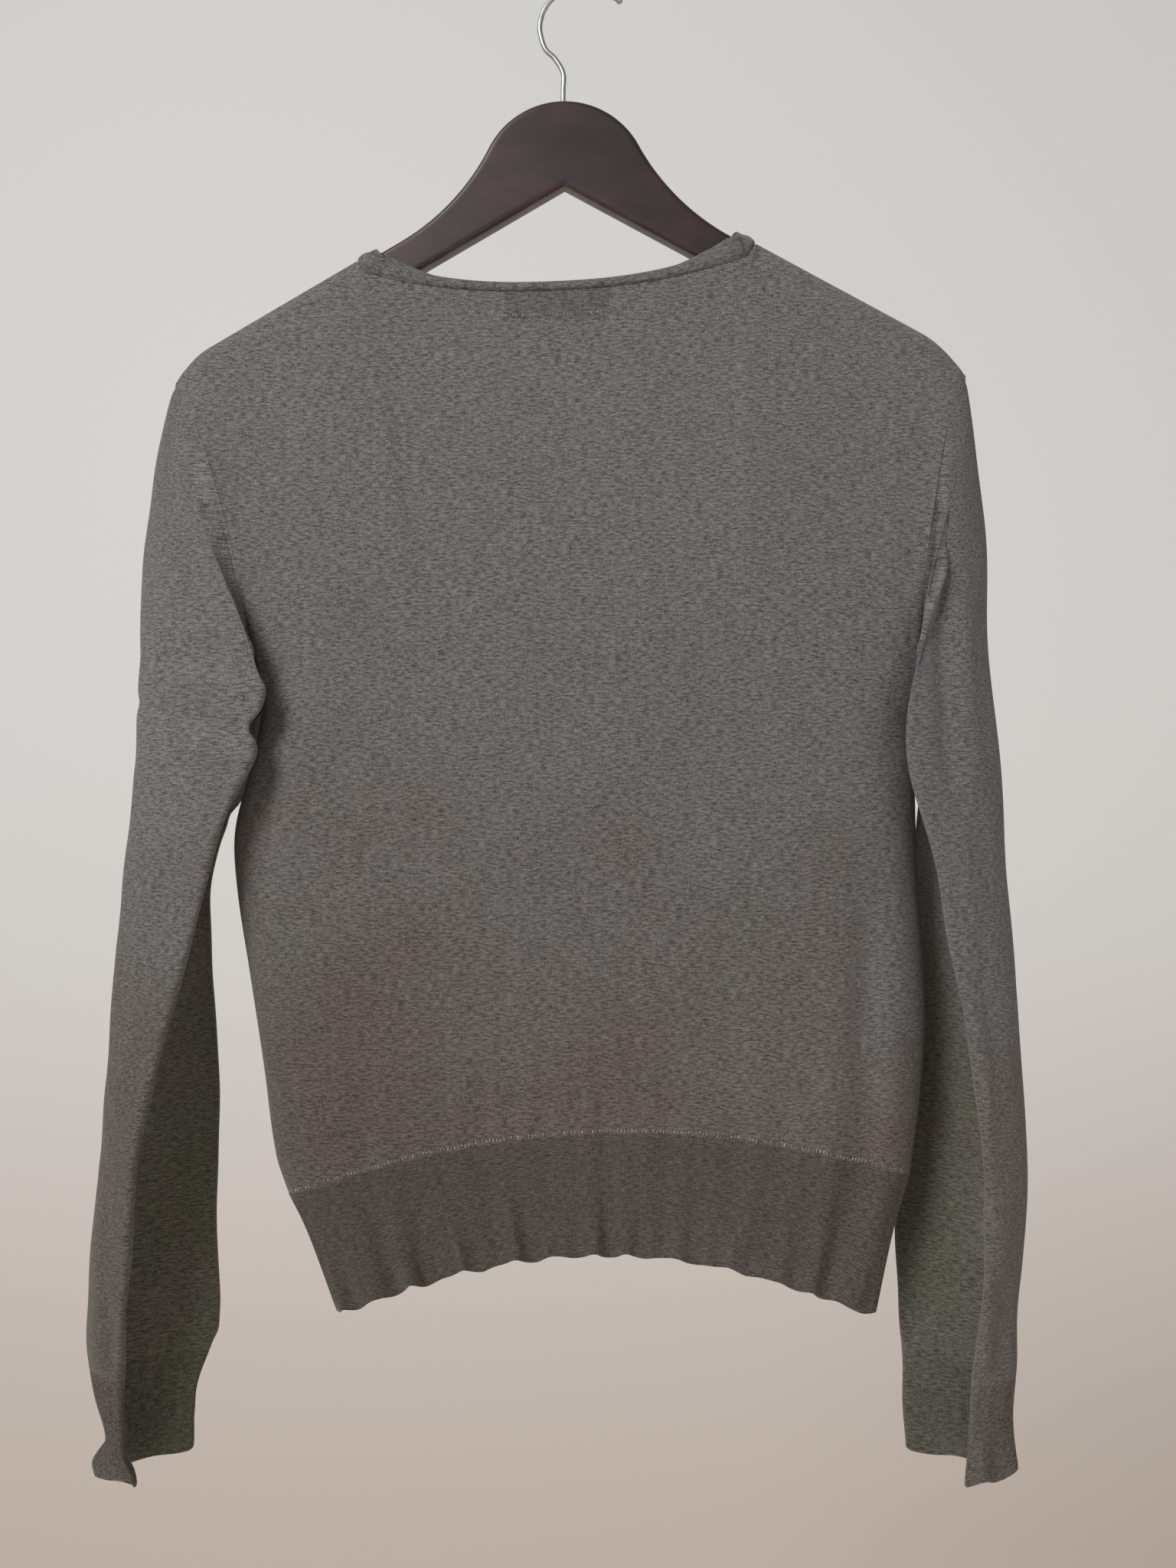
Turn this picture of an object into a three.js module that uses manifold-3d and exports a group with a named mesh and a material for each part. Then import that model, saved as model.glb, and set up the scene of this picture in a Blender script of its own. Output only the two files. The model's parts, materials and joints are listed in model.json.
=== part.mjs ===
// A long-sleeved fine-knit jumper, hung by its shoulders on a flat wooden hanger with a steel hook.
// Units are millimetres and +Z is up. The origin is the top of the hook's inside, where a rail or a
// wall hook bears. The jumper's back faces -Y, its front faces +Y, and +X is the wearer's right.

import * as THREE from "three";
import Module from "manifold-3d";
import { mergeVertices } from "three/addons/utils/BufferGeometryUtils.js";

// ---- Driving dimensions ----

const LEFT = -1;
const RIGHT = 1;

const CLOTH = 1.5; // wall of the plain knit
const RIB = 1.8; // wall of the hem and cuff ribs
const BAND = 2; // wall of the doubled neckband
const SEAM = 0.3; // space between two sewn pieces

const HOOK = { bend: 22.6, wire: 1.4, shankX: -9.8, shankTop: -46, depthInWood: 18, tipBall: 1.9 };
const HANGER = {
  centreX: -9,
  centreZ: -109.3,
  crown: 46.3,
  armHeight: 18.9,
  armReach: 180,
  flare: 126,
  slope: THREE.MathUtils.degToRad(29.3),
  tilt: THREE.MathUtils.degToRad(1),
  thickness: 12,
  edge: 2.5,
};
const BORE_CLEARANCE = 0.3;

// Where the cloth lies over the hanger's arms.
const LIFT = 3.6; // from the arm's top edge to the outside of the cloth
const FOLD_RADIUS = 10; // the turn of the cloth over the arm
const ARM_END = 195; // from the hanger's centre, where the cloth leaves the arm

// Neck: the seam between the panels and the neckband.
const NECK = { left: -123, right: 96, dip: { back: 24, front: 82 }, y: 11, corner: 6, power: 2.4 };
const NECK_BLEND = 30; // below the seam, where the shoulders have come out as far as the neckline
const BAND_HEIGHT = 12;
const BAND_LEAN = { back: 0.95, front: 0.35, reach: 0.62 };

// Body depths, from the plane of the side seams to the widest part of each face.
const BACK_DEPTH = 26;
const FRONT_DEPTH = 30;
const DEPTH_REACH = 200; // how far below the shoulder the full depth is reached
const HEM_TAPER = 7;
const ARMHOLE_DEPTH = 20;
const PLEAT = { height: 3, count: 3.5, from: 150, to: 330 };
const BACK_FOLD = { x: 152, width: 9, depth: 4, from: -470, to: -560 };

// The body's outline on each side, as [height, x], from the hem seam up to the shoulder point.
const EDGE = {
  [LEFT]: [
    [-659, -160], [-638, -166.8], [-590, -173.4], [-539, -181], [-492, -188], [-461, -189],
    [-421, -179], [-388, -174], [-350, -179], [-315, -185.5], [-281, -194], [-246, -206],
    [-216, -221.6],
  ],
  [RIGHT]: [
    [-648, 180], [-608, 185], [-565, 188], [-522, 186.5], [-478, 183.5], [-405, 182],
    [-371, 182.2], [-332, 183.5], [-298, 186.5], [-259, 193], [-233, 199.4], [-212, 210.2],
  ],
};
const HEM_SEAM = { [LEFT]: -659, [RIGHT]: -648, rise: 31 };
const ARMPIT = { [LEFT]: -388, [RIGHT]: -405 };
const SHOULDER = { [LEFT]: -216, [RIGHT]: -212 };

// The rib below the hem seam narrows to its corners, and its lower edge is arched.
const HEM_EDGE = {
  [LEFT]: [[-723, -134], [-702, -142.5], [-674, -153.2], [-659, -160]],
  [RIGHT]: [[-724, 160], [-698, 167.2], [-672, 173.6], [-648, 180]],
};
const HEM_CORNER = { [LEFT]: -723, [RIGHT]: -724, rise: 36 };

// Each sleeve hangs as a flattened tube, folded lengthwise round its outer side, so that a near wing
// and a far wing lie behind each other. A station gives the height, the middle of the fold [x, y],
// the near edge [x, y], the far edge [x, y], half the space at the fold, and how far the underarm
// still stands away from the fold.
const SLEEVE = {
  [LEFT]: [
    [-420, -234, -4, -173, -38, -192, 34, 9, 36],
    [-460, -235.8, -4, -191, -38, -207.5, 34, 9, 20],
    [-500, -240, -4, -201.5, -36, -214.5, 32, 9, 8],
    [-560, -244.7, -4, -217.7, -36, -211.3, 30, 8.5, 2],
    [-625, -248.4, -4, -232.6, -38, -207.6, 26, 8, 0],
    [-690, -255.5, -4, -238.8, -36, -208.4, 22, 7.5, 0],
    [-725, -256.7, -4, -242.5, -32, -205.8, 18, 7, 0],
    [-750, -256.7, -4, -244.4, -27, -207.6, 14, 6.5, 0],
    [-780, -254, -4, -245.2, -24, -213, 12, 6, 0],
    [-790, -253.2, -4, -245, -25, -216, 12, 6, 0],
    [-805, -257, -5, -240.8, -26, -219.5, 13, 7.5, 0],
  ],
  [RIGHT]: [
    [-440, 221, -4, 176.7, -38, 196, 38, 9, 24],
    [-480, 222.4, -4, 188.9, -38, 193, 38, 9, 12],
    [-520, 224.9, -4, 195, -38, 189, 38, 9, 6],
    [-580, 227.7, -4, 207.4, -38, 186, 36, 8.5, 1],
    [-640, 229.9, -4, 214, -38, 185, 32, 8, 0],
    [-690, 227.4, -4, 216, -34, 180.2, 26, 7.5, 0],
    [-725, 226.3, -4, 213.6, -30, 181.3, 20, 7, 0],
    [-754, 227.9, -4, 209.6, -28, 182, 14, 6.5, 0],
    [-780, 227.8, -4, 207.6, -26, 181, 12, 6, 0],
    [-805, 228.4, -5, 205, -28, 185, 13, 6.5, 0],
  ],
};
const CUFF_SEAM = { [LEFT]: -750, [RIGHT]: -754 };
const CUFF_END = -805;
const WING_EDGE = 3; // radius of the soft fold along each wing's edge
// How the cloth leaves the armhole: out at its top and at the underarm, and to the front and back.
const SLEEVE_HEAD = { lean: { [LEFT]: 0.31, [RIGHT]: 0.16 }, underLean: 0.27, spread: 0.15 };

// ---- Grid lines shared by the pieces, so that their seams run side by side ----

// Down the armhole from the shoulder point: the part of its height, and for the sleeve's ring the
// place along the fold (0 at the fold, 1 at a wing's edge) and the turn round the edge in degrees.
const ARMHOLE_LINES = [
  [0, 0, 90], [0.004, 0.17, 90], [0.015, 0.34, 90], [0.031, 0.52, 90], [0.05, 0.7, 90],
  [0.1, 0.87, 90], [0.2, 1, 90], [0.33, 1, 30], [0.48, 1, -30], [0.62, 1, -90],
  [0.75, 0.75, -90], [0.87, 0.5, -90], [0.96, 0.25, -90], [1, 0, -90],
];
const NECK_START = 0.25;
const NECK_CORNER = (1 - 2 * NECK_START) * NECK.corner / (NECK.right - NECK.left);
const CORNER_COLUMNS = [30, 60, 90].map((turn) =>
  NECK_START + NECK_CORNER * (1 - Math.cos(THREE.MathUtils.degToRad(turn))));
const HALF_COLUMNS = [
  0, 0.004, 0.015, 0.035, 0.07, 0.12, 0.18, 0.23, NECK_START, ...CORNER_COLUMNS, 0.29, 0.34, 0.42, 0.5,
];
const SIDE_ROWS = [0, 0.17, 0.34, 0.51, 0.68, 0.85]; // hem seam to armpit
const ARMPIT_ROW = 0.6;
const RIB_ROWS = [0, 0.5, 1];
const CAP_ROWS = [0, 0.12, 0.28, 0.46, 0.64, 0.82];

// ---- Small helpers ----

const lerp = THREE.MathUtils.lerp;
const smooth = (value, from, to) => THREE.MathUtils.smoothstep(value, from, to);
const vec = (x, y, z) => new THREE.Vector3(x, y, z);

// A smooth curve through stations [place, value, value, ...], read at one place.
function follow(stations, place) {
  const table = stations[0][0] > stations[1][0] ? [...stations].reverse() : stations;
  const last = table.length - 1;
  const at = THREE.MathUtils.clamp(place, table[0][0], table[last][0]);
  let i = 0;
  while (i < last - 1 && at > table[i + 1][0]) i += 1;
  const span = table[i + 1][0] - table[i][0];
  const t = (at - table[i][0]) / span;
  const slope = (k, column) => {
    const before = table[Math.max(k - 1, 0)];
    const after = table[Math.min(k + 1, last)];
    return (after[column] - before[column]) / (after[0] - before[0]);
  };
  return table[i].slice(1).map((value, k) =>
    hermite(value, slope(i, k + 1) * span, table[i + 1][k + 1], slope(i + 1, k + 1) * span, t));
}

function hermite(start, startSlope, end, endSlope, t) {
  const t2 = t * t;
  const t3 = t2 * t;
  return (2 * t3 - 3 * t2 + 1) * start + (t3 - 2 * t2 + t) * startSlope
    + (3 * t2 - 2 * t3) * end + (t3 - t2) * endSlope;
}

// A closed wall of cloth. rows[v][u] are the points of its outer face, with u x v facing out;
// inwardAt(v, u), where it gives a vector, is the way from the outer to the inner face at a seam.
function clothWall(rows, { thickness, closed = false, flip = false, inwardAt = () => null }) {
  const height = rows.length;
  const width = rows[0].length;
  const column = (u) => (closed ? (u + width) % width : THREE.MathUtils.clamp(u, 0, width - 1));
  const row = (v) => THREE.MathUtils.clamp(v, 0, height - 1);
  const facing = flip ? 1 : -1;
  const outer = [];
  const inner = [];
  for (let v = 0; v < height; v += 1) {
    for (let u = 0; u < width; u += 1) {
      const across = rows[v][column(u + 1)].clone().sub(rows[v][column(u - 1)]);
      const along = rows[row(v + 1)][u].clone().sub(rows[row(v - 1)][u]);
      const inward = inwardAt(v, u) ?? across.cross(along).normalize().multiplyScalar(facing);
      outer.push(rows[v][u]);
      inner.push(rows[v][u].clone().addScaledVector(inward, thickness));
    }
  }
  const count = outer.length;
  const index = [];
  const quad = (a, b, c, d) => {
    const ring = flip ? [a, c, b, a, d, c] : [a, b, c, a, c, d];
    index.push(...ring);
  };
  const across = closed ? width : width - 1;
  for (let v = 0; v < height - 1; v += 1) {
    for (let u = 0; u < across; u += 1) {
      const a = v * width + u;
      const b = v * width + column(u + 1);
      const c = b + width;
      const d = a + width;
      quad(a, b, c, d);
      quad(count + a, count + d, count + c, count + b);
    }
  }
  for (let u = 0; u < across; u += 1) {
    const a = u;
    const b = column(u + 1);
    const c = (height - 1) * width + b;
    const d = (height - 1) * width + a;
    quad(b, a, count + a, count + b);
    quad(d, c, count + c, count + d);
  }
  for (let v = 0; v < height - 1 && !closed; v += 1) {
    const a = v * width;
    const d = a + width;
    const b = a + width - 1;
    const c = b + width;
    quad(a, d, count + d, count + a);
    quad(c, b, count + b, count + c);
  }
  const geometry = new THREE.BufferGeometry();
  geometry.setFromPoints([...outer, ...inner]);
  geometry.setIndex(index);
  geometry.computeVertexNormals();
  return geometry;
}

// ---- Armholes: one closed line on each side, shared by both panels and the sleeve ----

// angle 90 degrees is the shoulder point, -90 the armpit, 0 the middle of the back, 180 of the front.
function armholePoint(side, angle) {
  const middle = (SHOULDER[side] + ARMPIT[side]) / 2;
  const half = (SHOULDER[side] - ARMPIT[side]) / 2;
  const z = middle + half * Math.sin(angle);
  return vec(follow(EDGE[side], z)[0], -ARMHOLE_DEPTH * Math.cos(angle), z);
}

// The way into the garment at the armhole seam. Below, each piece turns to its own side.
function armholeInward(side, angle, toSleeve) {
  const under = Math.max(0, -Math.sin(angle)) ** 2;
  const sideways = under * 1.2 * (toSleeve ? side : -side);
  return vec(sideways, Math.cos(angle), -Math.sin(angle) * 0.6).normalize();
}

const armholeAngle = (part) => Math.asin(THREE.MathUtils.clamp(1 - 2 * part, -1, 1));

// ---- Body panels ----

// The outside of the cloth where it lies along the top of the hanger's arm.
function shoulderHeight(x) {
  const side = x < HANGER.centreX ? LEFT : RIGHT;
  const out = Math.abs(x - HANGER.centreX);
  const slope = HANGER.slope - side * HANGER.tilt;
  const tip = Math.abs(EDGE[side].at(-1)[1] - HANGER.centreX);
  const past = Math.max(0, (out - ARM_END) / (tip - ARM_END));
  const top = HANGER.centreZ + (HANGER.armHeight + LIFT) / Math.cos(slope);
  const beyondArm = top - Math.tan(slope) * tip - SHOULDER[side];
  return top - Math.tan(slope) * out - beyondArm * past ** 2;
}

// The top line of a panel: shoulder, neckline, shoulder, for u from 0 on the left to 1 on the right.
function topPoint(face, u) {
  const shoulderX = { [LEFT]: EDGE[LEFT].at(-1)[1], [RIGHT]: EDGE[RIGHT].at(-1)[1] };
  if (u <= NECK_START || u >= 1 - NECK_START) {
    const side = u < 0.5 ? LEFT : RIGHT;
    const part = Math.min(u, 1 - u) / NECK_START;
    const x = lerp(shoulderX[side], side === LEFT ? NECK.left : NECK.right, part);
    return vec(x, 0, shoulderHeight(x));
  }
  const part = (u - NECK_START) / (1 - 2 * NECK_START);
  const ends = lerp(shoulderHeight(NECK.left), shoulderHeight(NECK.right), part);
  return vec(lerp(NECK.left, NECK.right, part), 0, ends - neckFall(face, u));
}

// How far the neckline lies below the shoulders: first round the arm, then in a shallow scoop.
function neckFall(face, u) {
  const inset = Math.max(0, Math.min(u, 1 - u) - NECK_START);
  const past = Math.max(0, inset - NECK_CORNER) / (0.5 - NECK_START - NECK_CORNER);
  const scoop = (NECK.dip[face] - FOLD_RADIUS) * (1 - (1 - past) ** NECK.power);
  return FOLD_RADIUS * Math.min(inset / NECK_CORNER, 1) + scoop;
}

// 0 on the shoulders and 1 along the neckline, turning over the hanger's edge between them.
function neckShare(u) {
  return roundTurn(Math.max(0, Math.min(u, 1 - u) - NECK_START) / NECK_CORNER);
}

// A quarter circle: how far out the fold over the arm is, for a fall below its top.
function roundTurn(fall) {
  return Math.sqrt(1 - (1 - Math.min(fall, 1)) ** 2);
}

function archedLine(ends, u) {
  const x = lerp(ends.x[LEFT], ends.x[RIGHT], u);
  const z = lerp(ends.z[LEFT], ends.z[RIGHT], u) + ends.rise * (1 - (2 * u - 1) ** 2);
  return vec(x, 0, z);
}

// A patch between four lines: low(u), high(u) and the two sides(v), with u across and v up.
function patch(u, v, low, high, sides) {
  const point = sides(LEFT, v).clone().multiplyScalar(1 - u).addScaledVector(sides(RIGHT, v), u);
  point.addScaledVector(low(u), 1 - v).addScaledVector(high(u), v);
  point.addScaledVector(low(0), -(1 - u) * (1 - v)).addScaledVector(low(1), -u * (1 - v));
  point.addScaledVector(high(0), -(1 - u) * v).addScaledVector(high(1), -u * v);
  return point;
}

const hemSeamEnds = {
  x: { [LEFT]: EDGE[LEFT][0][1], [RIGHT]: EDGE[RIGHT][0][1] }, z: HEM_SEAM, rise: HEM_SEAM.rise,
};
const hemCornerEnds = {
  x: { [LEFT]: HEM_EDGE[LEFT][0][1], [RIGHT]: HEM_EDGE[RIGHT][0][1] },
  z: HEM_CORNER,
  rise: HEM_CORNER.rise,
};

function sideHeight(side, v) {
  if (v < ARMPIT_ROW) return lerp(HEM_SEAM[side], ARMPIT[side], v / ARMPIT_ROW);
  return lerp(ARMPIT[side], SHOULDER[side], (v - ARMPIT_ROW) / (1 - ARMPIT_ROW));
}

// How far the cloth at (u, v) stands out from the plane of the side seams.
function bodyDepth(face, u, v, x, z, drop) {
  const neck = neckShare(u);
  const turn = roundTurn((drop + neckFall(face, u)) / FOLD_RADIUS);
  const depth = face === "back" ? BACK_DEPTH : FRONT_DEPTH;
  const stand = lerp(neck, 1, smooth(drop, 0, NECK_BLEND));
  const top = FOLD_RADIUS * turn + (NECK.y - FOLD_RADIUS) * stand;
  const middle = top + (depth - FOLD_RADIUS) * smooth(drop, 0, DEPTH_REACH)
    - HEM_TAPER * (1 - smooth(v, 0, 0.35)) + foldDepth(face, u, x, z, drop);
  const armhole = Math.max(0, v - ARMPIT_ROW) / (1 - ARMPIT_ROW);
  const edge = ARMHOLE_DEPTH * Math.sqrt(Math.max(0, 1 - (2 * armhole - 1) ** 2));
  const sideEdge = v > ARMPIT_ROW ? edge : 0;
  const roll = Math.sqrt(Math.max(0, 1 - Math.abs(2 * u - 1) ** 10));
  return lerp(sideEdge, middle, roll) + SEAM / 2;
}

// The soft upright folds: several across the front, and one near the right side of the back.
function foldDepth(face, u, x, z, drop) {
  if (face === "front") {
    const across = Math.cos(2 * Math.PI * PLEAT.count * (u - 0.5));
    return PLEAT.height * across * smooth(drop, PLEAT.from, PLEAT.to);
  }
  const share = 1 - smooth(z, BACK_FOLD.to, BACK_FOLD.from);
  return -BACK_FOLD.depth * share * Math.exp(-(((x - BACK_FOLD.x) / BACK_FOLD.width) ** 2));
}

const columns = [...HALF_COLUMNS, ...HALF_COLUMNS.slice(0, -1).reverse().map((u) => 1 - u)];
const bodyRows = [
  ...SIDE_ROWS.map((part) => part * ARMPIT_ROW),
  ...ARMHOLE_LINES.map(([part]) => 1 - part * (1 - ARMPIT_ROW)).reverse(),
];

function bodyPoint(face, u, v) {
  const sides = (side, at) => {
    const z = sideHeight(side, at);
    return vec(follow(EDGE[side], z)[0], 0, z);
  };
  const high = (at) => topPoint(face, at);
  const point = patch(u, v, (at) => archedLine(hemSeamEnds, at), high, sides);
  const drop = Math.max(0, high(u).z - point.z);
  const way = face === "back" ? -1 : 1;
  point.y = way * bodyDepth(face, u, v, point.x, point.z, drop);
  return point;
}

// The way in along a panel's top line: square to the arm on the shoulder, level at the neck.
function topInward(face, u) {
  const neck = neckShare(u);
  const side = u < 0.5 ? LEFT : RIGHT;
  const onArm = Math.sqrt(1 - neck ** 2);
  const across = -side * Math.sin(HANGER.slope) * onArm;
  return vec(across, face === "back" ? neck : -neck, -Math.cos(HANGER.slope) * onArm).normalize();
}

// The way in at a panel's edges: down at the shoulders, across at the sides, level at the hem.
function panelInward(face, rows) {
  const way = face === "back" ? -1 : 1;
  return (v, u) => {
    const across = columns[u];
    const up = bodyRows[v];
    const side = across < 0.5 ? LEFT : RIGHT;
    const onSide = u === 0 || u === columns.length - 1;
    if (onSide && up > ARMPIT_ROW) {
      const angle = armholeAngle((1 - up) / (1 - ARMPIT_ROW));
      const inward = armholeInward(side, angle, false);
      return vec(inward.x, -way * Math.abs(inward.y), inward.z);
    }
    if (onSide && up === ARMPIT_ROW) return vec(-side, 0, 0.5).normalize();
    if (onSide) return vec(-side, 0, 0);
    if (v === bodyRows.length - 1) return topInward(face, across);
    return v === 0 ? levelInward(rows, v, u, way) : null;
  };
}

// The level part of the way in, so that two pieces meet on a flat seam.
function levelInward(rows, v, u, way) {
  const width = rows[v].length;
  const across = rows[v][Math.min(u + 1, width - 1)].clone().sub(rows[v][Math.max(u - 1, 0)]);
  return vec(way * across.y, -way * across.x, 0).normalize();
}

function bodyPanel(face) {
  const rows = bodyRows.map((v) => columns.map((u) => bodyPoint(face, u, v)));
  const inwardAt = panelInward(face, rows);
  return clothWall(rows, { thickness: CLOTH, flip: face === "front", inwardAt });
}

// ---- Hem rib, in a back and a front half ----

function hemPoint(face, u, part) {
  const sides = (side, at) => {
    const z = lerp(HEM_CORNER[side], HEM_SEAM[side], at);
    return vec(follow(HEM_EDGE[side], z)[0], 0, z);
  };
  const low = (at) => archedLine(hemCornerEnds, at);
  const high = (at) => archedLine(hemSeamEnds, at);
  const point = patch(u, part, low, high, sides);
  const seam = bodyPoint(face, u, 0);
  point.y = seam.y * lerp(0.92, 1, part);
  point.z -= SEAM * part;
  if (u === 0 || u === 1) point.y = seam.y;
  return point;
}

function hemRib(face) {
  const way = face === "back" ? -1 : 1;
  const rows = RIB_ROWS.map((part) => columns.map((u) => hemPoint(face, u, part)));
  const inwardAt = (v, u) => {
    if (u === 0) return vec(1, 0, 0);
    if (u === columns.length - 1) return vec(-1, 0, 0);
    return levelInward(rows, v, u, way);
  };
  return clothWall(rows, { thickness: RIB, flip: face === "front", inwardAt });
}

// ---- Neckband: one ring round the neck opening ----

function neckColumns() {
  const inNeck = columns.filter((u) => u >= NECK_START && u <= 1 - NECK_START);
  const back = inNeck.slice(0, -1).map((u) => ({ face: "back", u }));
  const front = inNeck.slice(1).reverse().map((u) => ({ face: "front", u }));
  return [...back, ...front];
}

// How far the band leans into the opening: most in the middle of each face, none on the shoulders.
function bandLean(face, u) {
  const off = (2 * (u - NECK_START) / (1 - 2 * NECK_START) - 1) / BAND_LEAN.reach;
  return BAND_LEAN[face] * Math.max(0, 1 - off * off);
}

function neckband() {
  const around = neckColumns();
  const base = around.map(({ face, u }) => {
    const point = bodyPoint(face, u, 1);
    if (neckShare(u) === 0) point.y = 0;
    return point;
  });
  const count = base.length;
  const inward = around.map(({ face, u }) => topInward(face, u));
  const square = base.map((_, i) => {
    const along = base[(i + 1) % count].clone().sub(base[(i + count - 1) % count]);
    return along.cross(inward[i]).normalize();
  });
  const stand = square.map((way, i) =>
    way.clone().addScaledVector(inward[i], bandLean(around[i].face, around[i].u)).normalize());
  const rows = [0, 0.5, 1].map((part) => base.map((point, i) =>
    point.clone().addScaledVector(square[i], SEAM).addScaledVector(stand[i], part * BAND_HEIGHT)));
  const inwardAt = (v, u) => {
    const level = inward[u].clone();
    return v === 0 ? level : level.addScaledVector(stand[u], -level.dot(stand[u])).normalize();
  };
  return clothWall(rows, { thickness: BAND, closed: true, inwardAt });
}

// ---- Sleeves and cuffs ----

// Once round a sleeve: from the shoulder line down the back to the underarm, and up the front.
const backLines = ARMHOLE_LINES.map(([part, along, turn]) =>
  ({ angle: armholeAngle(part), along: -along, turn }));
const frontLines = ARMHOLE_LINES.slice(1, -1).reverse().map(([part, along, turn]) =>
  ({ angle: Math.PI - armholeAngle(part), along, turn }));
const sleeveLines = [...backLines, ...frontLines];

// A level section through the folded sleeve: its middle line is a parabola from the near edge round
// the fold to the far edge, and the two skins lie on either side of it.
function sleevePoint(side, z, line) {
  const [px, py, nx, ny, fx, fy, half, open] = follow(SLEEVE[side], z);
  const s = line.along;
  const bendX = (nx + fx) / 2 - px;
  const bendY = (ny + fy) / 2 - py;
  const x = px + ((fx - nx) / 2) * s + bendX * s * s;
  const y = py + ((fy - ny) / 2) * s + bendY * s * s;
  const alongX = (fx - nx) / 2 + 2 * bendX * s;
  const alongY = (fy - ny) / 2 + 2 * bendY * s;
  const length = Math.hypot(alongX, alongY);
  const tx = alongX / length;
  const ty = alongY / length;
  const outX = side * ty;
  const outY = -side * tx;
  const turn = THREE.MathUtils.degToRad(line.turn);
  const fold = 1 - s * s;
  const skin = WING_EDGE + (half - WING_EDGE) * fold + (turn < 0 ? open * fold : 0);
  const across = skin * Math.sin(turn);
  const beyond = Math.sign(s) * WING_EDGE * Math.cos(turn);
  return vec(x + outX * across + tx * beyond, y + outY * across + ty * beyond, z);
}

// Between the armhole and the first level section, each line of the cloth runs in one smooth sweep.
function capPoint(side, line, t) {
  const first = SLEEVE[side][0][0];
  const start = armholePoint(side, line.angle);
  start.x += side * SEAM;
  const end = sleevePoint(side, first, line);
  const below = sleevePoint(side, first - 1, line);
  const reach = start.distanceTo(end);
  const spread = -SLEEVE_HEAD.spread * Math.cos(line.angle);
  const lean = lerp(SLEEVE_HEAD.underLean, SLEEVE_HEAD.lean[side], (1 + Math.sin(line.angle)) / 2);
  const leave = vec(side * lean, spread, -1).normalize().multiplyScalar(reach);
  const arrive = below.sub(end).multiplyScalar(reach);
  return vec(
    hermite(start.x, leave.x, end.x, arrive.x, t),
    hermite(start.y, leave.y, end.y, arrive.y, t),
    hermite(start.z, leave.z, end.z, arrive.z, t),
  );
}

function tubeInward(rows, v, u, side) {
  const width = rows[v].length;
  const across = rows[v][(u + 1) % width].clone().sub(rows[v][(u + width - 1) % width]);
  return vec(side * across.y, -side * across.x, 0).normalize();
}

function sleeve(side) {
  const levels = SLEEVE[side].map(([z]) => z).filter((z) => z > CUFF_SEAM[side]);
  const rows = [
    ...CAP_ROWS.map((t) => sleeveLines.map((line) => capPoint(side, line, t))),
    ...levels.map((z) => sleeveLines.map((line) => sleevePoint(side, z, line))),
    sleeveLines.map((line) => sleevePoint(side, CUFF_SEAM[side] + SEAM, line)),
  ];
  const inwardAt = (v, u) => {
    if (v === 0) return armholeInward(side, sleeveLines[u].angle, true);
    return v === rows.length - 1 ? tubeInward(rows, v, u, side) : null;
  };
  return clothWall(rows, { thickness: CLOTH, closed: true, flip: side === LEFT, inwardAt });
}

function cuff(side) {
  const heights = [CUFF_SEAM[side], (CUFF_SEAM[side] + CUFF_END) / 2, CUFF_END];
  const rows = heights.map((z) => sleeveLines.map((line) => sleevePoint(side, z, line)));
  const inwardAt = (v, u) => tubeInward(rows, v, u, side);
  return clothWall(rows, { thickness: RIB, closed: true, flip: side === LEFT, inwardAt });
}

// ---- Hanger ----

const wasm = await Module();
wasm.setup();

function toSolid(geometry) {
  const bare = geometry.clone();
  bare.deleteAttribute("normal");
  bare.deleteAttribute("uv");
  const merged = mergeVertices(bare);
  return new wasm.Manifold(new wasm.Mesh({
    numProp: 3,
    vertProperties: new Float32Array(merged.attributes.position.array),
    triVerts: new Uint32Array(merged.index.array),
  }));
}

function toGeometry(solid) {
  const mesh = solid.getMesh();
  const geometry = new THREE.BufferGeometry();
  geometry.setAttribute("position", new THREE.BufferAttribute(mesh.vertProperties, 3));
  geometry.setIndex(new THREE.BufferAttribute(mesh.triVerts, 1));
  geometry.computeVertexNormals();
  return geometry;
}

// The board's outline: a round crown, a hollow curve into each arm, and a V underneath. The hollow
// curve is an arc that touches both the crown and the arm's top edge.
function hangerOutline() {
  const { crown, armHeight, armReach, flare, slope } = HANGER;
  const up = new THREE.Vector2(Math.sin(slope), Math.cos(slope));
  const along = new THREE.Vector2(Math.cos(slope), -Math.sin(slope));
  const rise = armHeight + flare;
  const run = Math.sqrt((crown + flare) ** 2 - rise ** 2);
  const centre = up.clone().multiplyScalar(rise).addScaledVector(along, run);
  const touchCrown = Math.atan2(centre.y, centre.x);
  const touchArm = Math.PI * 1.5 - slope;
  const tip = armHeight / 2;
  const under = along.clone().multiplyScalar(armReach / Math.cos(slope));
  const end = under.clone().addScaledVector(up, tip);
  const shape = new THREE.Shape();
  shape.moveTo(0, 0);
  shape.lineTo(under.x, under.y);
  shape.absarc(end.x, end.y, tip, -Math.PI / 2 - slope, Math.PI / 2 - slope, false);
  shape.absarc(centre.x, centre.y, flare, touchArm, touchCrown + Math.PI, true);
  shape.absarc(0, 0, crown, touchCrown, Math.PI - touchCrown, false);
  shape.absarc(-centre.x, centre.y, flare, -touchCrown, Math.PI - touchArm, true);
  shape.absarc(-end.x, end.y, tip, Math.PI / 2 + slope, Math.PI * 1.5 + slope, false);
  return shape;
}

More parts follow.
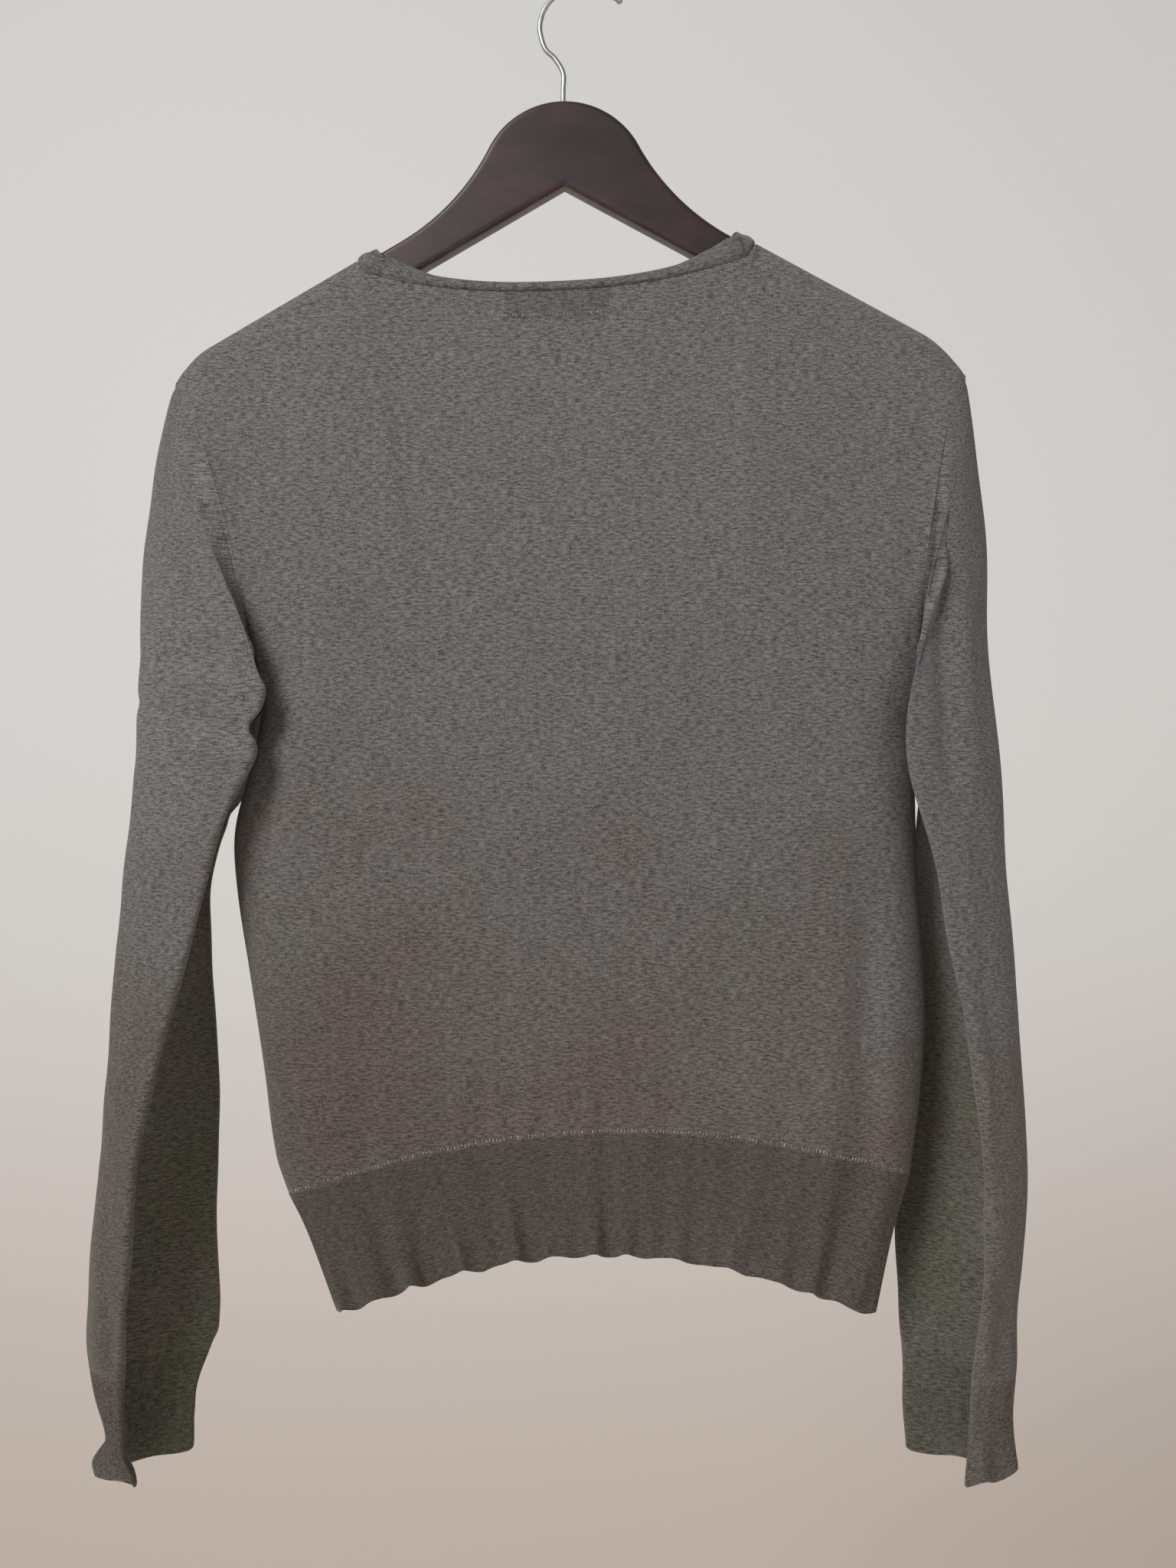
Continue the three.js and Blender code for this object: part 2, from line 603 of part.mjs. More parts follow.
function hangerBoard() {
  const { thickness, edge, centreX, centreZ, tilt, crown } = HANGER;
  const board = new THREE.ExtrudeGeometry(hangerOutline(), {
    depth: thickness - 2 * edge,
    bevelThickness: edge,
    bevelSize: edge,
    bevelOffset: -edge,
    bevelSegments: 3,
    curveSegments: 9,
  });
  board.translate(0, 0, edge - thickness / 2);
  board.rotateX(Math.PI / 2);
  board.rotateY(-tilt);
  board.translate(centreX, 0, centreZ);
  const boreLength = HOOK.depthInWood + 2;
  const bore = new THREE.CylinderGeometry(
    HOOK.wire + BORE_CLEARANCE, HOOK.wire + BORE_CLEARANCE, boreLength, 12);
  bore.rotateX(Math.PI / 2);
  bore.translate(HOOK.shankX, 0, centreZ + crown + 1 - boreLength / 2);
  return toGeometry(toSolid(board).subtract(toSolid(bore)));
}

// The hook: a straight shank, a swan neck to one side, and a bend over the top to its open tip.
function hookPath() {
  const { bend, wire, shankX, shankTop, depthInWood } = HOOK;
  const low = HANGER.centreZ + HANGER.crown - depthInWood + 1.5;
  const centreZ = wire - bend;
  const points = [low, low + 8, low + 16, low + 24, shankTop].map((z) => vec(shankX, 0, z));
  points.push(vec(shankX - 4.5, 0, shankTop + 8), vec(-bend * 0.87, 0, centreZ - bend * 0.5));
  for (let degrees = 185; degrees >= 60; degrees -= 25) {
    const angle = THREE.MathUtils.degToRad(degrees);
    points.push(vec(bend * Math.cos(angle), 0, centreZ + bend * Math.sin(angle)));
  }
  points.push(vec(bend * 0.82, 0, -4.6), vec(bend, 0, -6.8));
  return new THREE.CatmullRomCurve3(points, false, "centripetal");
}

function hookWire() {
  const path = hookPath();
  const section = new THREE.Shape();
  section.absarc(0, 0, HOOK.wire, 0, Math.PI * 2, false);
  const wire = new THREE.ExtrudeGeometry(section, {
    steps: 44, curveSegments: 5, bevelEnabled: false, extrudePath: path,
  });
  const ball = new THREE.SphereGeometry(HOOK.tipBall, 10, 8);
  const tip = path.getPoint(1);
  ball.translate(tip.x, tip.y, tip.z);
  return toGeometry(toSolid(wire).add(toSolid(ball)));
}

// ---- The whole part ----

const group = new THREE.Group();

function addPiece(name, geometry, color, roughness, metalness = 0) {
  const material = new THREE.MeshStandardMaterial({ color, roughness, metalness });
  const mesh = new THREE.Mesh(geometry, material);
  mesh.name = name;
  group.add(mesh);
}

const KNIT_COLOUR = "#6b6764";
const RIB_COLOUR = "#5c5852";

addPiece("back_panel", bodyPanel("back"), KNIT_COLOUR, 0.95);
addPiece("front_panel", bodyPanel("front"), KNIT_COLOUR, 0.95);
addPiece("hem_rib_back", hemRib("back"), RIB_COLOUR, 0.95);
addPiece("hem_rib_front", hemRib("front"), RIB_COLOUR, 0.95);
addPiece("neckband", neckband(), RIB_COLOUR, 0.95);
for (const [side, label] of [[LEFT, "left"], [RIGHT, "right"]]) {
  addPiece(`sleeve_${label}`, sleeve(side), KNIT_COLOUR, 0.95);
  addPiece(`cuff_${label}`, cuff(side), RIB_COLOUR, 0.95);
}
addPiece("hanger_board", hangerBoard(), "#3d2423", 0.35);
addPiece("hanger_hook", hookWire(), "#a3a6a4", 0.3, 0.9);

export default group;
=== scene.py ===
import json
import math

import bpy
import numpy as np
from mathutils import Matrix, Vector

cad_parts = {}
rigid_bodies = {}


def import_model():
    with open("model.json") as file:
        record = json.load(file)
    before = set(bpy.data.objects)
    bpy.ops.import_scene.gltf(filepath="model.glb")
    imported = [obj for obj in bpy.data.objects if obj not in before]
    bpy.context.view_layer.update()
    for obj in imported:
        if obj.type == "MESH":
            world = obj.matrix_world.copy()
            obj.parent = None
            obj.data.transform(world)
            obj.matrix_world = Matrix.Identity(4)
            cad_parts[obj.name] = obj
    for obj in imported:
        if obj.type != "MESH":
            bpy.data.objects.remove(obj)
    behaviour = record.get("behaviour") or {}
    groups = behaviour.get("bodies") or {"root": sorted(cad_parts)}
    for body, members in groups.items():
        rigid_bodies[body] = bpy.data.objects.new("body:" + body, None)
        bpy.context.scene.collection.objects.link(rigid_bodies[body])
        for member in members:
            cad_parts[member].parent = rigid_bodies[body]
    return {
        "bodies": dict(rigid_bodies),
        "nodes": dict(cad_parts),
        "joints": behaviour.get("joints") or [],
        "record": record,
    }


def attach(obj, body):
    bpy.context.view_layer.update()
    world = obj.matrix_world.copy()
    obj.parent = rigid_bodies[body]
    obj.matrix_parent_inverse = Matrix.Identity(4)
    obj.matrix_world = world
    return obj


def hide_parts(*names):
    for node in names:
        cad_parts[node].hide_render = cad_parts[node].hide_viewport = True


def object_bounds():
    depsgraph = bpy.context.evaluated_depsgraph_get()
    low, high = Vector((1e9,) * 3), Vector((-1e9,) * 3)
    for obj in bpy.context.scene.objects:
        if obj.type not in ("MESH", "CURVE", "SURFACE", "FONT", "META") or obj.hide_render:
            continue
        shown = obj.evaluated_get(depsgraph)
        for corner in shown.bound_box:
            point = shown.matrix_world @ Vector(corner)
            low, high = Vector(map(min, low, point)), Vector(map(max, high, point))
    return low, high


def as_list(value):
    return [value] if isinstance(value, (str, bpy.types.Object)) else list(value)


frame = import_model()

# A long-sleeved fine-knit jumper, hung by its shoulders on a flat wooden hanger with a steel hook.
# Shapes are worked out in millimetres and turned into metres when they become meshes. +Z is up, the
# jumper's back faces -Y and its front +Y, and the origin is the top of the hook's inside.

bl_info = {
    "name": "Fine-knit jumper on a hanger",
    "version": (1, 0, 0),
    "blender": (4, 5, 0),
    "location": "3D View > Sidebar > Jumper",
    "description": "Builds a fine-knit jumper with ribbed edges on a wooden hanger",
    "category": "Object",
}

CAD_BOX = [list(corner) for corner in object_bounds()]
MM = 0.001
LEFT = -1
RIGHT = 1
UV_NAME = "cloth"

# ---- The cut of the jumper, in millimetres ----

SEAM = 0.3
HANGER = {
    "centre_x": -9, "centre_z": -109.3, "crown": 46.3, "arm_height": 18.9, "arm_reach": 180, "flare": 126,
    "slope": math.radians(29.3), "tilt": math.radians(1), "thickness": 12, "edge": 2.5,
}
HOOK = {
    "bend": 22.6, "wire": 1.4, "ball": 1.9, "tip": 0.15, "shank_x": -9.8, "shank_top": -46,
    "in_board": 16.5,
}
LIFT = 3.6  # from the hanger's arm to the outside of the cloth
FOLD_RADIUS = 10  # of the cloth's turn over the arm
ARM_END = 195  # from the hanger's middle, where the shoulder line starts to round off
NECK = {"left": -123, "right": 96, "dip": {"back": 24, "front": 82}, "y": 11, "corner": 6, "power": 2.4}
NECK_START = 0.25  # the share of a panel's top that each shoulder takes
NECK_CORNER = (1 - 2 * NECK_START) * NECK["corner"] / (NECK["right"] - NECK["left"])
NECK_BLEND = 30  # down from the neckline, where the panel reaches its own depth
BAND_HEIGHT = 12
BAND_CURL = {"back": math.radians(115), "front": math.radians(38), "reach": 0.88, "bend": 9}
BAND_ROLL = math.radians(-35)
RIBBED = {"hem": 350, "cuff": 100, "back": 240, "front": 262}  # lengths that give the number of ribs
DEPTH = {"back": 26, "front": 30}
DEPTH_REACH = 200  # down from the shoulders, where the body is at its full depth
HEM_TAPER = 7
ARMHOLE_DEPTH = 20
PLEAT = {"height": 3, "count": 3.5, "from": 150, "to": 330}
ARMPIT_ROW = 0.6  # of a panel's height
GATHERS = {"reach": 0.09, "middle": 0.5, "half": 0.42}  # above the hem, in shares of the panel
BLOUSE = {"stand": 2.2, "place": 0.085, "spread": 0.05}
WELT = {"stand": 1.1, "inset": 2.6, "spread": 1.6, "width": 380}
RIB_EDGE_LIFT = 0.9  # how far a scallop rises, as a share of how far it swings out
NECK_PATCH = {"left": -43, "right": 17, "low": -182}

# The body's outline on each side, as (height, x), from the hem seam up to the shoulder point.
EDGE = {
    LEFT: [
        (-659, -160), (-638, -166.8), (-590, -173.4), (-539, -181), (-492, -188), (-461, -189),
        (-421, -179), (-388, -174), (-350, -179), (-315, -185.5), (-281, -194), (-246, -206),
        (-216, -221.6),
    ],
    RIGHT: [
        (-648, 180), (-608, 185), (-565, 188), (-522, 186.5), (-478, 183.5), (-405, 182),
        (-371, 182.2), (-332, 183.5), (-298, 186.5), (-259, 193), (-233, 199.4), (-212, 210.2),
    ],
}
HEM_SEAM = {LEFT: -659, RIGHT: -648, "rise": 31}
ARMPIT = {LEFT: -388, RIGHT: -405}
SHOULDER = {LEFT: -216, RIGHT: -212}
HEM_EDGE = {
    LEFT: [(-723, -134), (-702, -142.5), (-674, -153.2), (-659, -160)],
    RIGHT: [(-724, 160), (-698, 167.2), (-672, 173.6), (-648, 180)],
}
HEM_CORNER = {LEFT: -723, RIGHT: -724, "rise": 36}

# Level sections of the folded sleeves: height, middle of the fold x and y, near edge x and y, far
# edge x and y, half the space at the fold, and how far the underarm still stands off the fold.
SLEEVE = {
    LEFT: [
        (-420, -234, -4, -173, -38, -192, 34, 9, 36),
        (-460, -235.8, -4, -191, -38, -207.5, 34, 9, 20),
        (-500, -240, -4, -201.5, -36, -214.5, 32, 9, 8),
        (-560, -244.7, -4, -217.7, -36, -211.3, 30, 8.5, 2),
        (-625, -248.4, -4, -232.6, -38, -207.6, 26, 8, 0),
        (-690, -255.5, -4, -238.8, -36, -208.4, 22, 7.5, 0),
        (-725, -256.7, -4, -242.5, -32, -205.8, 18, 7, 0),
        (-750, -256.7, -4, -244.4, -27, -207.6, 14, 6.5, 0),
        (-780, -254, -4, -245.2, -24, -213, 12, 6, 0),
        (-790, -253.2, -4, -245, -25, -216, 12, 6, 0),
        (-805, -257, -5, -240.8, -26, -219.5, 13, 7.5, 0),
    ],
    RIGHT: [
        (-440, 221, -4, 176.7, -38, 196, 38, 9, 24), (-480, 222.4, -4, 188.9, -38, 193, 38, 9, 12),
        (-520, 224.9, -4, 195, -38, 189, 38, 9, 6), (-580, 227.7, -4, 207.4, -38, 186, 36, 8.5, 1),
        (-640, 229.9, -4, 214, -38, 185, 32, 8, 0), (-690, 227.4, -4, 216, -34, 180.2, 26, 7.5, 0),
        (-725, 226.3, -4, 213.6, -30, 181.3, 20, 7, 0), (-754, 227.9, -4, 209.6, -28, 182, 14, 6.5, 0),
        (-780, 227.8, -4, 207.6, -26, 181, 12, 6, 0), (-805, 228.4, -5, 205, -28, 185, 13, 6.5, 0),
    ],
}
CUFF_SEAM = {LEFT: -750, RIGHT: -754}
CUFF_END = -805
WING_EDGE = 3
SLEEVE_HEAD = {"lean": {LEFT: 0.31, RIGHT: 0.16}, "under_lean": 0.27, "spread": 0.15}

# Round half a sleeve from the shoulder line to the underarm: the place along the section (0 to 1 on
# the outer skin, then the rounded edge, then back along the inner skin) and the turn down the armhole.
EDGE_SPAN = 0.12
ARMHOLE_TURN = [
    (0, 90), (0.17, 82.7), (0.34, 75.9), (0.52, 69.7), (0.7, 64.2), (0.87, 53.1), (1, 36.9),
    (1.04, 19.9), (1.08, 2.3), (1.12, -13.9), (1.37, -30), (1.62, -47.7), (1.87, -66.9), (2.12, -90),
]

# Soft creases: start x and z, end x and z, half-width, and how far they stand out (below 0, sink in).
BACK_CREASES = [
    (152, -490, 153, -664, 8, -4.2), (167, -500, 169, -655, 8, 1.6), (132, -510, 134, -650, 9, 0.9),
    (26, -500, 28, -600, 6, -0.7), (78, -500, 80, -604, 7, -0.8), (52, -520, 52, -610, 8, 0.5),
    (-152, -380, -157, -480, 9, 1.6), (-166, -392, -170, -470, 7, -2.0),
    (-172, -392, -118, -440, 10, -1.1), (-170, -380, -120, -402, 9, 0.9),
    (176, -404, 132, -446, 11, -0.9), (-110, -560, -118, -650, 9, -0.8), (-60, -575, -62, -650, 8, 0.6),
]
FRONT_CREASES = [
    (-172, -392, -112, -446, 11, -1.4), (176, -404, 118, -450, 11, -1.4), (-168, -378, -116, -400, 9, 1.0),
    (0, -250, 6, -330, 26, 0.9), (-70, -270, -40, -360, 14, -0.9), (60, -262, 44, -350, 14, -0.9),
]
SLEEVE_CREASES = {
    LEFT: [
        (-244, -390, -208, -401, 4.5, -2.6), (-210, -401, -166, -408, 5.5, -3.2),
        (-228, -376, -166, -388, 6, 3.0), (-240, -366, -196, -372, 5, -1.6),
        (-214, -352, -180, -364, 6, 1.5), (-220, -414, -168, -422, 7, 2.4),
        (-230, -400, -204, -418, 4, 1.6), (-206, -436, -184, -448, 5, -1.8),
        (-216, -338, -190, -350, 5, -1.2), (-243, -430, -256, -640, 5, 1.8),
        (-254, -640, -258, -780, 5, 1.4), (-214, -470, -228, -540, 7, -1.4),
        (-250, -700, -246, -760, 4, -1.2), (-236, -560, -246, -610, 5, 1.2),
        (-206, -300, -214, -390, 8, -1.2),
    ],
    RIGHT: [
        (186, -250, 196, -450, 7, -4.2), (202, -280, 209, -440, 6, 1.8), (212, -300, 222, -500, 9, -1.0),
        (200, -460, 214, -640, 5, 1.8), (225, -690, 219, -800, 5, -2.2), (214, -650, 226, -700, 7, 1.4),
        (205, -520, 222, -600, 6, -1.2), (196, -398, 212, -420, 5, -1.2),
    ],
}

# Small bends of the sleeves' outline: the place round the section (-1 near edge, 0 fold, 1 far edge)
# and its spread, the height and its spread, and the shift in x.
SLEEVE_BENDS = {
    LEFT: [
        (-1, 0.30, -405, 8, -5.6), (-1, 0.25, -385, 6, 1.6), (-1, 0.35, -432, 9, 1.0),
        (1, 0.60, -418, 34, 9.0), (1, 0.60, -770, 22, -5.0), (-0.35, 0.6, -786, 13, 3.4),
        (-1, 0.3, -803, 8, 4.0),
    ],
    RIGHT: [(0, 0.6, -365, 45, -4.0), (-0.2, 0.5, -650, 40, 1.2), (-1, 0.4, -700, 30, -1.2)],
}


# ---- Small helpers ----


def lerp(start, end, share):
    """The value at a share of the way from start to end."""
    return start + (end - start) * share


def smooth(value, low, high):
    """0 below low and 1 above high, with a soft S between them."""
    share = np.clip((value - low) / (high - low), 0, 1)
    return share * share * (3 - 2 * share)


def unit(vectors):
    """Vectors of length one that point the same way."""
    return vectors / np.linalg.norm(vectors, axis=-1, keepdims=True)


def stack(x, y, z):
    """One array of points from three arrays of coordinates that broadcast together."""
    return np.stack(np.broadcast_arrays(x, y, z), axis=-1).astype(float)


def hermite(start, start_slope, end, end_slope, t):
    """The cubic with the given ends and end slopes, read at t from 0 to 1."""
    t2, t3 = t * t, t * t * t
    return (
        (2 * t3 - 3 * t2 + 1) * start + (t3 - 2 * t2 + t) * start_slope
        + (3 * t2 - 2 * t3) * end + (t3 - t2) * end_slope
    )


def follow(stations, place):
    """A smooth curve through stations (place, value, ...), read at an array of places. Between two
    stations it is a cubic whose end slopes are those of the chords across each station. Returns the
    values along the last axis."""
    table = np.array(sorted(stations), float)
    at, values = table[:, 0], table[:, 1:]
    slope = np.empty_like(values)
    slope[1:-1] = (values[2:] - values[:-2]) / (at[2:] - at[:-2])[:, None]
    slope[0] = (values[1] - values[0]) / (at[1] - at[0])
    slope[-1] = (values[-1] - values[-2]) / (at[-1] - at[-2])
    place = np.clip(np.asarray(place, float), at[0], at[-1])
    low = np.clip(np.searchsorted(at, place) - 1, 0, len(at) - 2)
    span = (at[low + 1] - at[low])[..., None]
    t = (place - at[low])[..., None] / span
    return hermite(values[low], slope[low] * span, values[low + 1], slope[low + 1] * span, t)


def distance_along(points, axis=0):
    """How far each point of a line lies from its first one, measured along the line."""
    steps = np.linalg.norm(np.diff(points, axis=axis), axis=-1)
    return np.insert(np.cumsum(steps, axis=axis), 0, 0, axis=axis)


def even_places(curve, places, count):
    """Places along a curve at even steps of its length, and that length. curve holds the points at
    the given places."""
    length = distance_along(curve)
    return np.interp(np.linspace(0, length[-1], count + 1)[:-1], length, places), length[-1]


def bell(value, middle, spread):
    """1 at the middle, falling away on both sides as a Gaussian curve."""
    return np.exp(-(((value - middle) / spread) ** 2))


def ripple(x, z, seed, size, height, waves=9):
    """Soft unevenness: a sum of flat waves of random heading and phase, each about size long."""
    chance = np.random.default_rng(seed)
    heading = chance.uniform(0, 2 * np.pi, waves)
    length = size * chance.uniform(0.7, 1.6, waves)
    phase = chance.uniform(0, 2 * np.pi, waves)
    total = 0
    for turn, span, start in zip(heading, length, phase):
        total = total + np.sin(2 * np.pi * (x * np.cos(turn) + z * np.sin(turn)) / span + start)
    return height * total / math.sqrt(waves)


def creases(x, z, lines):
    """The summed height of soft creases: each is a bell curve of the distance to its line, and it
    fades in and out along its length."""
    total = np.zeros(np.broadcast(x, z).shape)
    for x0, z0, x1, z1, width, rise in lines:
        span = (x1 - x0) ** 2 + (z1 - z0) ** 2
        along = ((x - x0) * (x1 - x0) + (z - z0) * (z1 - z0)) / span
        near = np.clip(along, 0, 1)
        gap = (x - x0 - near * (x1 - x0)) ** 2 + (z - z0 - near * (z1 - z0)) ** 2
        fade = smooth(along, -0.15, 0.3) * (1 - smooth(along, 0.7, 1.15))
        total = total + rise * fade * np.exp(-gap / width ** 2)
    return total


def patch(u, v, low, high, sides):
    """A surface between four lines: the sum of the two ruled surfaces less the one through the four
    corners. Each line gives x and z."""
    left, right = sides(LEFT, v), sides(RIGHT, v)
    bottom, top = low(u), high(u)
    corner = [low(np.zeros(1)), low(np.ones(1)), high(np.zeros(1)), high(np.ones(1))]
    return [
        (1 - u) * left[axis] + u * right[axis] + (1 - v) * bottom[axis] + v * top[axis]
        - (1 - u) * (1 - v) * corner[0][axis] - u * (1 - v) * corner[1][axis]
        - (1 - u) * v * corner[2][axis] - u * v * corner[3][axis]
        for axis in (0, 1)
    ]


def outward_normals(points, closed, reference):
    """Unit normals of a grid of points: the cross product of its two tangents. reference is the way
    out at the middle of the first column."""
    if closed:
        across = np.roll(points, -1, axis=1) - np.roll(points, 1, axis=1)
    else:
        across = np.gradient(points, axis=1)
    normal = unit(np.cross(across, np.gradient(points, axis=0)))
    row = len(points) // 2
    column = 0 if closed else points.shape[1] // 2
    return normal if normal[row, column] @ np.asarray(reference) > 0 else -normal


# ---- Meshes ----


def cloth_loop(outer, inward, thickness, rim=4):
    """The closed cross-sections of a cloth wall. Each column of the grid becomes one loop: along the
    outer face, round the last edge in a half circle, back along the inner face and round the first
    edge."""
    inner = outer + inward * thickness
    turn = np.linspace(0, np.pi, rim + 2)[1:-1, None, None]

    def edge(row, away):
        middle = (outer[row] + inner[row]) / 2
        return middle + thickness / 2 * (np.sin(turn) * away - np.cos(turn) * inward[row])

    first = edge(0, unit(outer[0] - outer[1]))
    last = edge(-1, unit(outer[-1] - outer[-2]))
    return np.concatenate([outer, last, inner[::-1], first[::-1]])


def loop_uv(uv, rim=4):
    """The cloth coordinates of the loops that cloth_loop makes."""
    edge = np.ones((rim, 1, 1))
    return np.concatenate([uv, edge * uv[-1], uv[::-1], edge * uv[0]])


def grid_faces(rows, columns, rows_close, columns_close):
    """The corners of every face of a grid, as row and column numbers. Either way can close on itself:
    a row past the last is the first again, and a column past the last keeps its own number."""
    row, column = np.meshgrid(
        np.arange(rows if rows_close else rows - 1),
        np.arange(columns if columns_close else columns - 1), indexing="ij")
    return (row.reshape(-1, 1) + [0, 0, 1, 1]) % rows, column.reshape(-1, 1) + [0, 1, 1, 0]


def end_faces(rows, columns, rim):
    """The two flat ends of an open wall: row i of the loop is joined to the row opposite it."""
    step = np.arange(rows // 2 - 1)
    one, other = (rows - rim // 2 + step) % rows, (rows - rim // 2 - 1 - step) % rows
    one_next, other_next = (one + 1) % rows, (other - 1) % rows
    near = np.stack([one, one_next, other_next, other], axis=1)
    rows_of = np.concatenate([near, near[:, ::-1]])
    columns_of = np.repeat([0, columns - 1], len(step))[:, None] * np.ones(4, int)
    return rows_of, columns_of


def enclosed_volume(points, faces):
    """Six times the volume inside closed faces, by summing the tetrahedra from the origin."""
    a, b, c, d = (points[faces[:, i]] for i in range(4))
    return np.sum(np.cross(a, b) * c) + np.sum(np.cross(a, c) * d)


def tube_faces(points):
    """The faces of a tube of closed rings, one ring to a row: the quads round it and its two flat
    caps, facing outwards."""
    rows, columns = points.shape[:2]
    rows_of, columns_of = grid_faces(rows, columns, False, True)
    sides = rows_of * columns + columns_of % columns
    number = np.arange(rows * columns).reshape(rows, columns)
    caps = np.stack([number[0, ::-1], number[-1]])
    if enclosed_volume(points.reshape(-1, 3), sides) < 0:
        return sides[:, ::-1], caps[:, ::-1]
    return sides, caps


def make_object(name, points, faces, material):
    """A smooth-shaded mesh object in metres from points in millimetres. faces holds one array for
    each number of corners."""
    mesh = bpy.data.meshes.new(name)
    corners = [face for part in faces for face in part.tolist()]
    mesh.from_pydata((points.reshape(-1, 3) * MM).tolist(), [], corners)
    mesh.polygons.foreach_set("use_smooth", np.ones(len(mesh.polygons), bool))
    mesh.materials.append(material)
    mesh.update()
    piece = bpy.data.objects.new(name, mesh)
    bpy.context.scene.collection.objects.link(piece)
    return piece


def cloth_piece(name, outer, inward, uv, thickness, closed, material, rim=4):
    """A closed cloth wall as a mesh object. uv holds each point's place on the flat cloth, in metres;
    on a closed grid it has one more column than the points."""
    points = cloth_loop(outer, inward, thickness, rim)
    cloth = loop_uv(uv, rim)
    rows, columns = points.shape[:2]
    rows_of, columns_of = grid_faces(rows, columns, True, closed)
    if not closed:
        more_rows, more_columns = end_faces(rows, columns, rim)
        rows_of = np.concatenate([rows_of, more_rows])
        columns_of = np.concatenate([columns_of, more_columns])
    faces = rows_of * columns + columns_of % columns
    flat = points.reshape(-1, 3)
    if enclosed_volume(flat, faces) < 0:
        faces, rows_of, columns_of = faces[:, ::-1], rows_of[:, ::-1], columns_of[:, ::-1]
    piece = make_object(name, flat, [faces], material)
    layer = piece.data.uv_layers.new(name=UV_NAME)
    layer.data.foreach_set("uv", cloth[rows_of, columns_of].reshape(-1).astype(np.float32))
    return piece


def ring_uv(columns, length, height):
    """Cloth coordinates of a ring of cloth: even steps round it, and the given height, in metres."""
    around = np.linspace(0, length * MM, columns + 1)
    return np.stack(np.broadcast_arrays(around[None, :], height), axis=-1)


def finish_piece(piece, nodes=()):
    """Fastens a piece to the object and hides the plain solids it stands for."""
    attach(piece, "root")
    if nodes:
        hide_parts(*nodes)
    return piece


# ---- Body panels ----


def shoulder_height(x):
    """The outside of the cloth over the hanger's arm: a straight slope, rounding off past its end."""
    side = np.where(x < HANGER["centre_x"], LEFT, RIGHT)
    out = np.abs(x - HANGER["centre_x"])
    slope = HANGER["slope"] - side * HANGER["tilt"]
    tip = np.abs(np.where(side == LEFT, EDGE[LEFT][-1][1], EDGE[RIGHT][-1][1]) - HANGER["centre_x"])
    past = np.maximum(0, (out - ARM_END) / (tip - ARM_END))
    top = HANGER["centre_z"] + (HANGER["arm_height"] + LIFT) / np.cos(slope)
    low = np.where(side == LEFT, SHOULDER[LEFT], SHOULDER[RIGHT])
    return top - np.tan(slope) * out - (top - np.tan(slope) * tip - low) * past ** 2


def neck_fall(face, u):
    """How far the neckline lies below the shoulders: first round the arm, then a scoop that goes as
    one less a power of the distance from the middle."""
    inset = np.maximum(0, np.minimum(u, 1 - u) - NECK_START)
    past = np.maximum(0, inset - NECK_CORNER) / (0.5 - NECK_START - NECK_CORNER)
    scoop = (NECK["dip"][face] - FOLD_RADIUS) * (1 - (1 - past) ** NECK["power"])
    return FOLD_RADIUS * np.minimum(inset / NECK_CORNER, 1) + scoop


def round_turn(fall):
    """A quarter circle: how far out the fold over the arm is, for a fall below its top."""
    return np.sqrt(1 - (1 - np.minimum(fall, 1)) ** 2)


def neck_share(u):
    """0 on the shoulders and 1 along the neckline, turning over the hanger's edge between them."""
    return round_turn(np.maximum(0, np.minimum(u, 1 - u) - NECK_START) / NECK_CORNER)


def top_line(face, u):
    """x and z of a panel's top: shoulder, neckline, shoulder, for u from 0 to 1."""
    left = u < 0.5
    share = np.minimum(u, 1 - u) / NECK_START
    tip = np.where(left, EDGE[LEFT][-1][1], EDGE[RIGHT][-1][1])
    corner = np.where(left, NECK["left"], NECK["right"])
    along = (u - NECK_START) / (1 - 2 * NECK_START)
    x = np.where(share <= 1, lerp(tip, corner, share), lerp(NECK["left"], NECK["right"], along))
    ends = lerp(shoulder_height(np.array(NECK["left"])), shoulder_height(np.array(NECK["right"])), along)
    return x, np.where(share <= 1, shoulder_height(x), ends) - neck_fall(face, u)


def arched_line(corners, heights, u):
    """x and z of a line that runs from corner to corner with a low arch between them."""
    z = lerp(heights[LEFT], heights[RIGHT], u) + heights["rise"] * (1 - (2 * u - 1) ** 2)
    return lerp(corners[LEFT], corners[RIGHT], u), z


def hem_seam_line(u):
    """x and z of the seam between a panel and the hem rib."""
    return arched_line({LEFT: EDGE[LEFT][0][1], RIGHT: EDGE[RIGHT][0][1]}, HEM_SEAM, u)


def side_line(side, v):
    """x and z of a panel's side, for v from 0 at the hem seam to 1 at the shoulder."""
    below = lerp(HEM_SEAM[side], ARMPIT[side], v / ARMPIT_ROW)
    above = lerp(ARMPIT[side], SHOULDER[side], (v - ARMPIT_ROW) / (1 - ARMPIT_ROW))
    z = np.where(v < ARMPIT_ROW, below, above)
    return follow(EDGE[side], z)[..., 0], z


